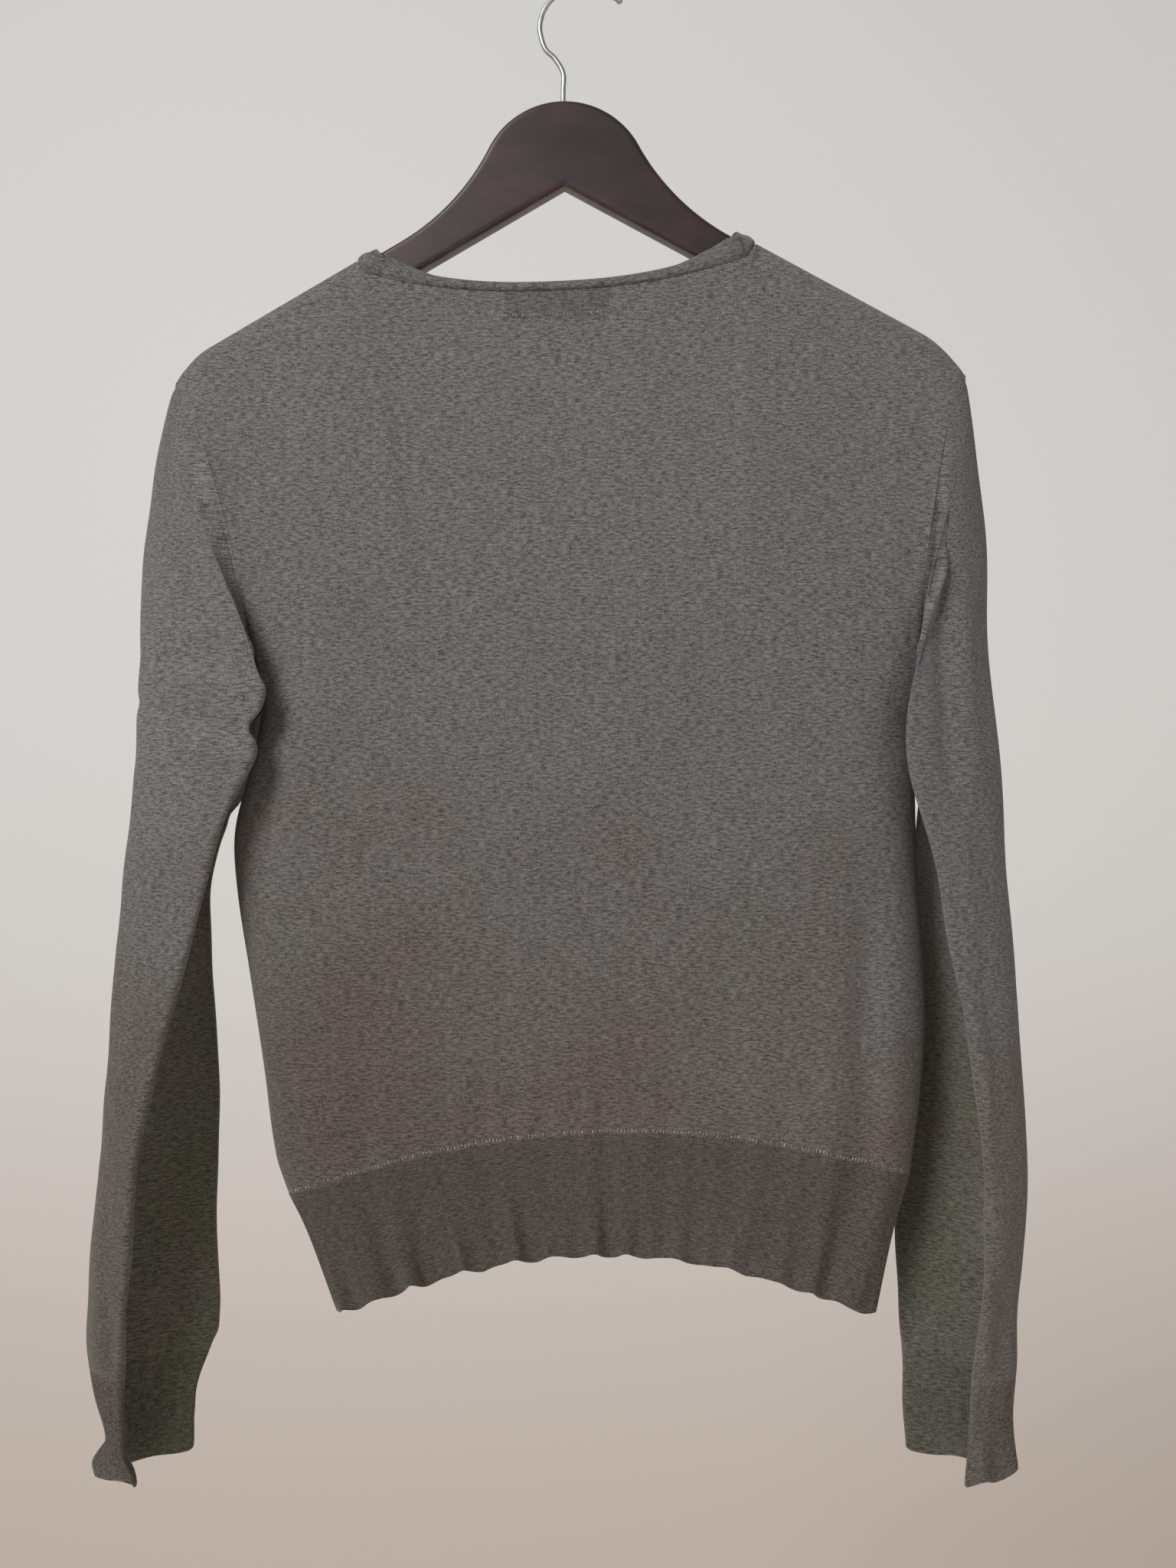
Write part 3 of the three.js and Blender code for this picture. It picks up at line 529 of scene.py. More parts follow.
def body_relief(face, u, v, x, z, drop):
    """What stands proud of the plain form: folds, gathers above the hem, welts along the armholes."""
    if face == "front":
        folds = PLEAT["height"] * np.cos(2 * np.pi * PLEAT["count"] * (u - 0.5))
        folds = folds * smooth(drop, PLEAT["from"], PLEAT["to"]) + creases(x, z, FRONT_CREASES)
    else:
        folds = creases(x, z, BACK_CREASES)
    gathers = 0.55 * np.sin(x / 2.9 + 1.5 * np.sin(x / 31)) + 0.5 * np.sin(x / 5.3 + 2)
    middle = np.exp(-((u - GATHERS["middle"]) / GATHERS["half"]) ** 8)
    gathers = gathers * np.exp(-v / GATHERS["reach"]) * middle
    blouse = BLOUSE["stand"] * bell(v, BLOUSE["place"], BLOUSE["spread"])
    uneven = ripple(x, z, 11 if face == "back" else 12, 85, 0.42) * smooth(drop, 5, 60)
    welt = bell(np.minimum(u, 1 - u) * WELT["width"], WELT["inset"], WELT["spread"])
    welt = welt * WELT["stand"] * smooth(v, ARMPIT_ROW, ARMPIT_ROW + 0.03)
    return folds + gathers + blouse + uneven + welt


def body_point(face, u, v):
    """Points of a panel's outside. x and z come from a patch between the hem seam, the sides and the
    top line. The depth is a quarter round over the hanger's arm that grows into the body's full
    depth, and rolls in to the side seams as the tenth power of the distance from the middle."""
    x, z = patch(u, v, hem_seam_line, lambda at: top_line(face, at), side_line)
    drop = np.maximum(0, top_line(face, u)[1] - z)
    neck = neck_share(u)
    turn = round_turn((drop + neck_fall(face, u)) / FOLD_RADIUS)
    stand = lerp(neck, 1, smooth(drop, 0, NECK_BLEND))
    top = FOLD_RADIUS * turn + (NECK["y"] - FOLD_RADIUS) * stand
    middle = top + (DEPTH[face] - FOLD_RADIUS) * smooth(drop, 0, DEPTH_REACH)
    middle = middle - HEM_TAPER * (1 - smooth(v, 0, 0.35)) + body_relief(face, u, v, x, z, drop)
    armhole = np.maximum(0, v - ARMPIT_ROW) / (1 - ARMPIT_ROW)
    edge = ARMHOLE_DEPTH * np.sqrt(np.maximum(0, 1 - (2 * armhole - 1) ** 2))
    roll = np.sqrt(np.maximum(0, 1 - np.abs(2 * u - 1) ** 10))
    depth = lerp(np.where(v > ARMPIT_ROW, edge, 0), middle, roll) + SEAM / 2
    return stack(x, (-1 if face == "back" else 1) * depth, z)


def panel_columns():
    """Columns across a panel: close together at the sides and round the corners of the neck."""
    shoulder = NECK_START * (1 - np.cos(np.linspace(0, np.pi / 2, 46)))
    corner = NECK_START + NECK_CORNER * (1 - np.cos(np.linspace(0, np.pi / 2, 9)[1:]))
    neck = np.linspace(NECK_START + NECK_CORNER, 0.5, 44)[1:]
    half = np.concatenate([shoulder, corner, neck])
    return np.concatenate([half, 1 - half[-2::-1]])


def panel_rows():
    """Rows up a panel: even, and closer together where the cloth turns over the arm."""
    over = np.sin(np.linspace(0, np.pi / 2, 26)[1:])
    return np.concatenate([np.linspace(0, 0.95, 180), 0.95 + 0.05 * over])


def build_panel(face, sizes, material):
    """A panel is its outer surface and a wall inwards. Its cloth is laid out from the middle column:
    each row keeps its length."""
    u, v = panel_columns()[None, :], panel_rows()[:, None]
    outer = body_point(face, u, v)
    way = -1 if face == "back" else 1
    inward = -outward_normals(outer, False, (0, way, 0))
    length = distance_along(outer[..., :2], axis=1)
    centre = length.shape[1] // 2
    across = length - length[:, centre:centre + 1] + outer[:, centre:centre + 1, 0]
    uv = np.stack([across * MM, outer[:, :, 2] * MM], axis=-1)
    piece = cloth_piece(f"{face}_body", outer, inward, uv, sizes.cloth / MM, False, material)
    return finish_piece(piece, [f"{face}_panel"])


# ---- Hem rib ----


def hem_point(face, u, part):
    """Points of the hem rib: a patch between its arched lower edge and the hem seam, with the depth
    of the panel above, drawn in a little towards the edge."""
    def sides(side, at):
        z = lerp(HEM_CORNER[side], HEM_SEAM[side], at)
        return follow(HEM_EDGE[side], z)[..., 0], z

    def low(at):
        return arched_line({LEFT: HEM_EDGE[LEFT][0][1], RIGHT: HEM_EDGE[RIGHT][0][1]}, HEM_CORNER, at)

    x, z = patch(u, part, low, hem_seam_line, sides)
    seam = body_point(face, u, np.zeros(1))
    y = seam[..., 1] * np.where((u == 0) | (u == 1), 1, lerp(0.92, 1, part))
    return stack(x, y, z - SEAM * part)


def edge_waves(share, seed, count):
    """The soft scallops of a stretched rib edge. share goes from 0 to 1 round it, count is the number
    of scallops, and whole numbers of waves make the two ends meet."""
    phase = np.random.default_rng(seed).uniform(0, 2 * np.pi, 3)
    wander = 1.3 * np.sin(2 * np.pi * round(count / 5) * share + phase[1])
    wave = np.sin(2 * np.pi * count * share + phase[0] + wander)
    return wave + 0.45 * np.sin(2 * np.pi * round(count / 0.61) * share + phase[2])


def ribbed_wall(outer, part, stand, swing, swell, sizes, outwards):
    """A rib's outer face, and the normals of its bare wall. The wall stands off its plain form and
    swings in and out by swell times the scallops. The scallops also rise and fall. Then the ribs stand
    on it: a cosine with four columns to a rib, fading out at the edge and the seam."""
    normal = outward_normals(outer, True, outwards)
    outer = outer + normal * (swing * swell + stand)[..., None]
    outer[..., 2] += swing * RIB_EDGE_LIFT
    normal = outward_normals(outer, True, outwards)
    fade = smooth(part, 0, 0.06) * (1 - smooth(part, 0.93, 1))
    ribs = sizes.rib_height / MM * np.cos(np.pi / 2 * np.arange(outer.shape[1])) * fade
    return outer + normal * ribs[..., None], normal


def build_hem(sizes, material):
    """The hem rib is one ring, down the back and up the front. Its scallops grow with the distance
    from the seam and towards the left, and die away at the left side seam."""
    dense = np.linspace(0, 1, 3000)
    wales = round(RIBBED["hem"] / (sizes.rib_pitch / MM))
    part = np.linspace(0, 1, 13)[:, None]
    halves, length = [], 0
    for face in ("back", "front"):
        places, span = even_places(hem_point(face, dense, np.full(1, 0.5)), dense, 4 * wales)
        places = places if face == "back" else 1 - places
        halves.append(hem_point(face, places[None, :], part))
        length += span
    outer = np.concatenate(halves, axis=1)
    columns = outer.shape[1]
    share = np.arange(columns) / columns
    left = smooth(-outer[0, :, 0], -120, 100)
    wave = edge_waves(share, 5, round(length / 26)) * lerp(0.55, 1.15, left)
    wave = wave * smooth(np.minimum(share, 1 - share), 0.002, 0.03)
    swing = wave * (1 - part) ** 2.2 * sizes.edge_wave / MM
    outer, normal = ribbed_wall(outer, part, -1.1 * np.sin(np.pi * part), swing, 1.2, sizes, (-1, 0, 0))
    uv = ring_uv(columns, length, lerp(HEM_CORNER[RIGHT], -640, part) * MM)
    piece = cloth_piece("hem_rib", outer, -normal, uv, sizes.rib / MM, True, material)
    return finish_piece(piece, ["hem_rib_back", "hem_rib_front"])


# ---- Neckband ----


def neck_inward(face, u):
    """The way in along the neck seam: square to the arm on the shoulder, level at the neck."""
    neck = neck_share(u)
    side = np.where(u < 0.5, LEFT, RIGHT)
    on_arm = np.sqrt(np.maximum(0, 1 - neck ** 2))
    way = 1 if face == "back" else -1
    slope = HANGER["slope"]
    return unit(stack(-side * math.sin(slope) * on_arm, way * neck, -math.cos(slope) * on_arm))


def build_neckband(sizes, material):
    """The neckband starts at the neck seam, leans out over it a little and rolls into the opening: its
    turn grows evenly over a round bend, and stays the same to its edge. The turn is greatest at the
    middle of the back, and fades to none on the shoulders."""
    base, inward, curl = [], [], []
    dense = np.linspace(NECK_START, 1 - NECK_START, 6000)
    length = 0
    for face in ("back", "front"):
        line = body_point(face, dense, np.ones(1))
        places, span = even_places(line, dense, 4 * round(RIBBED[face] / (sizes.rib_pitch / MM)))
        places = places if face == "back" else 1 - places
        off = (2 * (places - NECK_START) / (1 - 2 * NECK_START) - 1) / BAND_CURL["reach"]
        base.append(body_point(face, places, np.ones(1)))
        inward.append(neck_inward(face, places))
        curl.append(BAND_CURL[face] * np.maximum(0, 1 - off ** 2) ** 0.8)
        length += span
    base, inward, curl = np.concatenate(base), np.concatenate(inward), np.concatenate(curl)
    square = unit(np.cross(np.roll(base, -1, axis=0) - np.roll(base, 1, axis=0), inward))
    square = square if square[len(square) // 4, 2] > 0 else -square
    height = np.linspace(0, BAND_HEIGHT, 18)[:, None]
    start = BAND_ROLL * np.clip(curl / BAND_CURL["back"], 0.2, 1)
    turn = start + (curl - start) * np.minimum(height / BAND_CURL["bend"], 1)
    step = BAND_HEIGHT / (len(height) - 1)
    rise = np.cumsum(np.cos(turn), axis=0) * step - step
    lean = np.cumsum(np.sin(turn), axis=0) * step
    outer = base + square * (SEAM + rise)[..., None] + inward * lean[..., None]
    normal = square * np.sin(turn)[..., None] - inward * np.cos(turn)[..., None]
    part = height / BAND_HEIGHT
    puff = np.sin(np.pi * np.minimum(part * 1.3, 1)) - 0.8 * bell(part, 0, 0.07)
    ribs = sizes.rib_height / MM * np.cos(np.pi / 2 * np.arange(len(base))) * smooth(part, 0.0, 0.1)
    outer = outer + normal * (ribs + puff)[..., None]
    uv = ring_uv(len(base), length, height * MM)
    piece = cloth_piece("neck_rib", outer, -normal, uv, sizes.band / MM, True, material, rim=6)
    return finish_piece(piece, ["neckband"])


# ---- Sleeves and cuffs ----


def sleeve_line(place):
    """For places round half a sleeve: how far along the section, and the turn of its skin."""
    along = np.where(place < 1, place, np.where(place < 1 + EDGE_SPAN, 1, 2 + EDGE_SPAN - place))
    turn = np.pi / 2 - np.pi * np.clip((place - 1) / EDGE_SPAN, 0, 1)
    return along, turn


def section_point(side, z, way, place):
    """Points of a level section through the folded sleeve. Its middle line is a parabola from the
    near edge round the fold to the far edge, and the two skins lie on either side of it. way is -1 on
    the back half and 1 on the front half."""
    px, py, nx, ny, fx, fy, half, gap = np.moveaxis(follow(SLEEVE[side], z), -1, 0)
    reach, turn = sleeve_line(place)
    s = way * reach
    bend_x, bend_y = (nx + fx) / 2 - px, (ny + fy) / 2 - py
    x = px + (fx - nx) / 2 * s + bend_x * s * s
    y = py + (fy - ny) / 2 * s + bend_y * s * s
    along_x, along_y = (fx - nx) / 2 + 2 * bend_x * s, (fy - ny) / 2 + 2 * bend_y * s
    length = np.hypot(along_x, along_y)
    tx, ty = along_x / length, along_y / length
    fold = 1 - s * s
    skin = WING_EDGE + (half - WING_EDGE) * fold + np.where(turn < 0, gap * fold, 0)
    across = skin * np.sin(turn)
    beyond = way * WING_EDGE * np.cos(turn)
    return stack(x + side * ty * across + tx * beyond, y - side * tx * across + ty * beyond, z)


def cap_point(side, way, place, t):
    """Points between the armhole and the first level section: each line of the cloth runs from one
    to the other in one cubic sweep."""
    first = SLEEVE[side][0][0]
    angle = np.radians(follow(ARMHOLE_TURN, place)[..., 0])
    middle, half = (SHOULDER[side] + ARMPIT[side]) / 2, (SHOULDER[side] - ARMPIT[side]) / 2
    z = middle + half * np.sin(angle)
    x = follow(EDGE[side], z)[..., 0] + side * SEAM
    start = stack(x, way * ARMHOLE_DEPTH * np.cos(angle), z)
    end = section_point(side, np.full(1, float(first)), way, place)
    below = section_point(side, np.full(1, first - 1.0), way, place)
    reach = np.linalg.norm(end - start, axis=-1, keepdims=True)
    lean = lerp(SLEEVE_HEAD["under_lean"], SLEEVE_HEAD["lean"][side], (1 + np.sin(angle)) / 2)
    leave = unit(stack(side * lean, SLEEVE_HEAD["spread"] * way * np.cos(angle), -1.0)) * reach
    return hermite(start, leave, end, (below - end) * reach, t)


def half_places(outside, edge, inside):
    """Places round half a sleeve, closer together towards its edge."""
    out = np.sin(np.linspace(0, np.pi / 2, outside + 1))[:-1]
    rim = 1 + EDGE_SPAN * np.linspace(0, 1, edge + 1)[:-1]
    back = 1 + EDGE_SPAN + 1 - np.sin(np.linspace(np.pi / 2, 0, inside + 1))
    return np.concatenate([out, rim, back])


def bend_sleeve(side, points, reach):
    """Shifts points of a sleeve in x by its small bends: bell curves of the place round the section
    and of the height."""
    shift = 0
    for place, spread, height, rise, amount in SLEEVE_BENDS[side]:
        shift = shift + amount * bell(reach, place, spread) * bell(points[..., 2], height, rise)
    return points + stack(shift, 0, 0)


def round_sleeve(places, point):
    """One closed ring of columns from a function of (way, place): down the back and up the front."""
    return np.concatenate([point(-1, places), point(1, places[-2:0:-1])], axis=1)


def arc_uv(outer):
    """Cloth coordinates of a closed grid: the length round it from its first column, and the height."""
    ring = np.concatenate([outer, outer[:, :1]], axis=1)
    around = distance_along(ring[len(ring) // 2])
    return np.stack(np.broadcast_arrays(around[None, :] * MM, ring[..., 2] * MM), axis=-1)


def build_sleeve(side, sizes, material):
    """A sleeve runs down from the armhole through its level sections. Along its normals stand the
    creases, fainter on the front, a soft unevenness, and gathers and a swell above the cuff, which all
    fade out at both seams. A groove runs along the armhole's seam."""
    label = "left" if side == LEFT else "right"
    places = half_places(26, 8, 22)
    t = np.linspace(0, 1, 70)[:-1, None, None]
    levels = np.linspace(SLEEVE[side][0][0], CUFF_SEAM[side] + SEAM, 120)[:, None]
    outer = round_sleeve(places, lambda way, at: bend_sleeve(side, np.concatenate([
        cap_point(side, way, at[None, :], t), section_point(side, levels, way, at[None, :])]),
        way * sleeve_line(at)[0]))
    normal = outward_normals(outer, True, (side, 0, 0))
    down = distance_along(outer[:, 0])[:, None]
    to_cuff = down[-1, 0] - down
    x, z = outer[..., 0], outer[..., 2]
    near = smooth(-outer[..., 1], -6, 6)
    relief = creases(x, z, SLEEVE_CREASES[side]) * near
    relief = relief + creases(x, z + 14, SLEEVE_CREASES[side]) * (1 - near) * 0.8
    relief = relief + ripple(x + 2 * outer[..., 1], z, 21 + side, 60, 0.4)
    gathers = 0.8 * np.sin(2 * np.pi * (x + z / 14) / 7.0) * bell(to_cuff, 9, 9)
    relief = relief + gathers * (1 - near) + 0.5 * bell(to_cuff, 18.2, 26 / math.sqrt(3))
    relief = relief * smooth(down, 0, 14) * smooth(to_cuff, -2, 10)
    relief = relief - 0.7 * bell(down, 2.0, 2.2) * smooth(down, 0, 1)
    outer = outer + normal * relief[..., None]
    inward = -outward_normals(outer, True, (side, 0, 0))
    piece = cloth_piece(f"{label}_arm", outer, inward, arc_uv(outer), sizes.cloth / MM, True, material)
    return finish_piece(piece, [f"sleeve_{label}"])


def build_cuff(side, sizes, material):
    """A cuff is one ring on the sleeve's lowest sections, drawn in at its waist and flared in
    scallops towards its edge."""
    label = "left" if side == LEFT else "right"
    dense = np.linspace(0, 2 + EDGE_SPAN, 2400)
    middle = np.full(1, (CUFF_SEAM[side] + CUFF_END) / 2)
    wales = round(RIBBED["cuff"] / (sizes.rib_pitch / MM))
    halves, length = [], 0
    levels = np.linspace(CUFF_SEAM[side], CUFF_END, 18)[:, None]
    for way in (-1, 1):
        curve = section_point(side, middle, way, dense)
        places, span = even_places(curve[::-way], dense[::-way], 4 * wales)
        halves.append(bend_sleeve(
            side, section_point(side, levels, way, places[None, :]), way * sleeve_line(places)[0]))
        length += span
    outer = np.concatenate(halves, axis=1)
    columns = outer.shape[1]
    part = (levels - levels[-1]) / (levels[0] - levels[-1])
    weight = (1 - part) ** 2.5
    swing = edge_waves(np.arange(columns) / columns, 31 + side, 5) * 0.7 * weight * sizes.edge_wave / MM
    flare = 0.5 * weight - 0.9 * np.sin(np.pi * part) - 0.2
    outer, normal = ribbed_wall(outer, part, flare, swing, 1, sizes, (side, 0, 0))
    uv = ring_uv(columns, length, levels * MM)
    piece = cloth_piece(f"{label}_cuff", outer, -normal, uv, sizes.rib / MM, True, material)
    return finish_piece(piece, [f"cuff_{label}"])


# ---- Seam stitches ----


def row_of_beads(name, centres, across, up, size, material):
    """A small long bead at each centre, with its length along up and its width along across. A bead is
    five rings of eight points, whose radius follows a half sine."""
    t = np.linspace(0.06, 0.94, 5)[:, None]
    turn = np.linspace(0, 2 * np.pi, 8, endpoint=False)[None, :]
    radius = np.sin(np.pi * t) * 0.5
    rings = stack(radius * np.cos(turn), radius * np.sin(turn), t - 0.5)
    shape = rings.reshape(-1, 3) * size
    frame = np.stack([across, unit(np.cross(up, across)), up], axis=1)
    first = np.arange(len(centres))[:, None, None] * len(shape)
    faces = [(first + part).reshape(-1, part.shape[1]) for part in tube_faces(rings)]
    return make_object(name, centres[:, None] + shape @ frame, faces, material)


def stitch_line(face, u, v, lift):
    """Centres of stitches on a panel, lifted off its outside, with the way along the row and up."""
    point = body_point(face, u, v)
    along = unit(np.gradient(point, axis=0))
    above = unit(body_point(face, u, v + 0.004) - point)
    normal = unit(np.cross(along, above))
    normal = normal * np.where((normal[:, 1:2] > 0) == (face == "front"), 1, -1)
    return point + normal * lift, along, unit(above - along * np.sum(above * along, axis=1, keepdims=True))


def build_stitches(sizes, material):
    """Rows of linking stitches: along both hem seams, a little uneven in height, and along the lower
    edge of the ribbed patch below the neck."""
    pitch = sizes.stitch_pitch / MM
    made = []
    for face in ("back", "front"):
        dense = np.linspace(0.004, 0.996, 3000)
        places, _ = even_places(body_point(face, dense, np.full(1, 0.004)), dense, round(352 / pitch))
        centres, across, up = stitch_line(face, places, np.full(len(places), 0.0035), 0.05)
        chance = np.random.default_rng(3)
        centres = centres + up * chance.uniform(-0.25, 0.25, (len(centres), 1))
        made.append(row_of_beads(f"{face}_hem_stitches", centres, across, up, (0.8, 0.55, 2.3), material))
    x = np.arange(NECK_PATCH["left"], NECK_PATCH["right"] + 0.5, pitch)
    u = NECK_START + (1 - 2 * NECK_START) * (x - NECK["left"]) / (NECK["right"] - NECK["left"])
    up_panel = np.linspace(0.9, 1, 200)
    v = np.interp(NECK_PATCH["low"], body_point("back", 0.47, up_panel)[:, 2], up_panel)
    centres, across, up = stitch_line("back", u, np.full(len(u), v), 0.02)
    made.append(row_of_beads("neck_patch_stitches", centres, across, up, (0.75, 0.5, 1.7), material))
    return [finish_piece(piece) for piece in made]


# ---- Hanger ----


def arc_points(centre, radius, start, end, count):
    """Points along a circle's arc, from one angle to another."""
    turn = np.linspace(start, end, count)
    return np.stack([centre[0] + radius * np.cos(turn), centre[1] + radius * np.sin(turn)], axis=1)


def board_outline():
    """The board's outline, as x and z about the middle of its crown: a round crown, a hollow arc into
    each arm that touches both, rounded tips, and a V underneath."""
    crown, arm, flare, slope = (HANGER[k] for k in ("crown", "arm_height", "flare", "slope"))
    up = np.array([math.sin(slope), math.cos(slope)])
    along = np.array([math.cos(slope), -math.sin(slope)])
    centre = up * (arm + flare) + along * math.sqrt((crown + flare) ** 2 - (arm + flare) ** 2)
    touch = math.atan2(centre[1], centre[0])
    under = along * HANGER["arm_reach"] / math.cos(slope)
    end = under + up * arm / 2
    right = np.concatenate([
        np.linspace(0, 1, 90)[:, None] * under,
        arc_points(end, arm / 2, -math.pi / 2 - slope, math.pi / 2 - slope, 22)[1:],
        np.linspace(end + up * arm / 2, centre - flare * up, 40)[1:],
        arc_points(centre, flare, 1.5 * math.pi - slope, touch + math.pi, 50)[1:],
        arc_points((0, 0), crown, touch, math.pi / 2, 50)[1:],
    ])
    left = right[-2:0:-1] * [-1, 1]
    return np.concatenate([right, left])


def build_board(material):
    """The board is its outline carried round the profile of its edge: at each step the outline moves
    in by the edge's radius less its cosine, while its depth follows the sine."""
    outline = board_outline()
    before, after = np.roll(outline, 1, axis=0), np.roll(outline, -1, axis=0)
    first, second = unit(outline - before), unit(after - outline)
    normal = unit(first + second)[:, ::-1] * [1, -1]
    normal = normal / np.sum(normal * (second[:, ::-1] * [1, -1]), axis=1, keepdims=True)
    edge, half = HANGER["edge"], HANGER["thickness"] / 2
    turn = np.linspace(0, np.pi / 2, 7)
    moved_in = np.append(edge * (1 - np.cos(turn)), edge + 1.2)
    depth = np.append(half - edge + edge * np.sin(turn), half)
    inset = np.concatenate([moved_in[::-1], moved_in])
    depth = np.concatenate([-depth[::-1], depth])
    flat = outline[None] - normal[None] * inset[:, None, None]
    tilt = HANGER["tilt"]
    x = HANGER["centre_x"] + flat[..., 0] * math.cos(tilt) - flat[..., 1] * math.sin(tilt)
    z = HANGER["centre_z"] + flat[..., 0] * math.sin(tilt) + flat[..., 1] * math.cos(tilt)
    points = stack(x, depth[:, None], z)
    piece = make_object("wooden_board", points, tube_faces(points), material)
    wear = piece.data.attributes.new("edge_wear", "FLOAT", "POINT")
    rounded = np.repeat(np.clip(1 - inset / edge, 0, 1), len(outline))
    wear.data.foreach_set("value", rounded.astype(np.float32))
    return finish_piece(piece, ["hanger_board"])


def hook_line(count):
    """Points along the hook's wire: a smooth curve through a straight shank, a swan neck to one side
    and an arc over the top to the open tip."""
    bend, shank, top = (HOOK[k] for k in ("bend", "shank_x", "shank_top"))
    low = HANGER["centre_z"] + HANGER["crown"] - HOOK["in_board"]
    centre = HOOK["wire"] - bend
    knots = [(shank, z) for z in (low, low + 8, low + 16, low + 24, top)]
    knots += [(shank - 4.5, top + 8), (-bend * 0.87, centre - bend * 0.5)]
    turn = np.radians(np.arange(185, 59, -12.5))
    knots += list(zip(bend * np.cos(turn), centre + bend * np.sin(turn)))
    knots += [(bend * 0.82, -4.6), (bend, -6.8)]
    knots = np.array(knots)
    chord = np.concatenate([[0], np.cumsum(np.linalg.norm(np.diff(knots, axis=0), axis=1) ** 0.8)])
    line = follow(np.column_stack([chord, knots]).tolist(), np.linspace(0, chord[-1], count))
    return stack(line[:, 0], 0.0, line[:, 1])


def build_hook(material):
    """The wire is a circle carried along the hook's line. Its radius swells into a ball at the tip."""
    line = hook_line(260)
    along = unit(np.gradient(line, axis=0))
    side = np.array([0.0, 1.0, 0.0])
    up = np.cross(along, side)
    past = distance_along(line)
    left = past[-1] - past
    ball = np.sqrt(np.maximum(0, HOOK["ball"] ** 2 - (left - HOOK["ball"]) ** 2))
    radius = np.where(left < HOOK["ball"], ball, np.maximum(HOOK["wire"], ball))
    radius[-1] = HOOK["tip"]
    turn = np.linspace(0, 2 * np.pi, 24, endpoint=False)[None, :, None]
    points = line[:, None] + radius[:, None, None] * (np.cos(turn) * side + np.sin(turn) * up[:, None])
    piece = make_object("steel_hook", points, tube_faces(points), material)
    return finish_piece(piece, ["hanger_hook"])


# ---- Materials ----


class Shade:
    """A socket of a material's nodes. The arithmetic signs add Math nodes, so that an expression on
    two of them reads like one on numbers."""

    def __init__(self, tree, socket=None):
        self.tree = tree
        self.socket = socket

    def node(self, kind, settings=(), values=(), output=0):
        """Adds a node, sets its settings first and then its inputs, by place or by name."""
        node = self.tree.nodes.new(kind)
        for name, value in dict(settings).items():
            setattr(node, name, value)
        pairs = values.items() if isinstance(values, dict) else enumerate(values)
        for name, value in pairs:
            if isinstance(value, Shade):
                self.tree.links.new(value.socket, node.inputs[name])
            else:
                node.inputs[name].default_value = value
        return Shade(self.tree, node.outputs[output])

    def math(self, operation, *values):
        return self.node("ShaderNodeMath", {"operation": operation}, values)

    def __add__(self, other):
        return self.math("ADD", self, other)

    def __radd__(self, other):
        return self.math("ADD", other, self)

    def __sub__(self, other):
        return self.math("SUBTRACT", self, other)

    def __rsub__(self, other):
        return self.math("SUBTRACT", other, self)

    def __mul__(self, other):
        return self.math("MULTIPLY", self, other)

    def __rmul__(self, other):
        return self.math("MULTIPLY", other, self)

    def __truediv__(self, other):
        return self.math("DIVIDE", self, other)

    def __rtruediv__(self, other):
        return self.math("DIVIDE", other, self)

    def between(self, low, high):
        """0 below low and 1 above high, with a soft S between them."""
        return self.node(
            "ShaderNodeMapRange", {"interpolation_type": "SMOOTHSTEP"},
            {"Value": self, "From Min": low, "From Max": high})

    def blend(self, first, second):
        """Mixes two colours by this value."""
        settings = {"data_type": "RGBA", "clamp_factor": True}
        return self.node("ShaderNodeMix", settings, {0: self, 6: first, 7: second}, 2)

    def noise(self, vector, size, detail, rough):
        """Noise whose blots are about size across."""
        values = {"Vector": vector, "Scale": 1 / size, "Detail": detail, "Roughness": rough}
        return self.node("ShaderNodeTexNoise", {}, values)

    def bump(self, height, strength, distance):
        """The normal of a surface with this relief."""
        values = {"Strength": strength, "Distance": distance, "Height": height}
        return self.node("ShaderNodeBump", {}, values)

    def multiply(self, first, second):
        """The product of two colours."""
        settings = {"data_type": "RGBA", "blend_type": "MULTIPLY"}
        return self.node("ShaderNodeMix", settings, {0: 1.0, 6: first, 7: second}, 2)

    def vector(self, x, y, z):
        """A vector from three values."""
        return self.node("ShaderNodeCombineXYZ", {}, [x, y, z])

    def split(self):
        """The three values of a vector."""
        node = self.node("ShaderNodeSeparateXYZ", {}, [self]).socket.node
        return [Shade(self.tree, output) for output in node.outputs]


def rgba(colour):
    """An opaque colour with its fourth value."""
    return (*colour, 1.0)


def shaded(colour, share):
    """A colour made lighter or darker."""
    return (*[min(1.0, c * share) for c in colour], 1.0)


def new_material(name, constants):
    """A material with one principled surface, the pen for its nodes, and its Object coordinates.
    constants are the values that are the same all over."""
    material = bpy.data.materials.new(name)
    material.use_nodes = True
    pen = Shade(material.node_tree)
    for socket, value in constants.items():
        material.node_tree.nodes["Principled BSDF"].inputs[socket].default_value = value
    return material, pen, pen.node("ShaderNodeTexCoord", output=3)


def drive(pen, **sockets):
    """Links what varies over the surface to the surface's sockets."""
    surface = pen.tree.nodes["Principled BSDF"]
    for name, value in sockets.items():
        pen.tree.links.new(value.socket, surface.inputs[name.replace("_", " ")])


def knit_height(pen, u, v, wale, course):
    """The height of plain knit: two slanting legs in each wale, repeated with each course."""
    across = pen.math("FRACT", u / wale) - 0.5
    leg = pen.math("ABSOLUTE", across) * 2
    ridge = 1 - (leg * 2 - 1) * (leg * 2 - 1)
    loops = pen.math("SINE", (v / course + leg * 0.7) * (2 * math.pi))
    return ridge * (loops * 0.35 + 0.65)


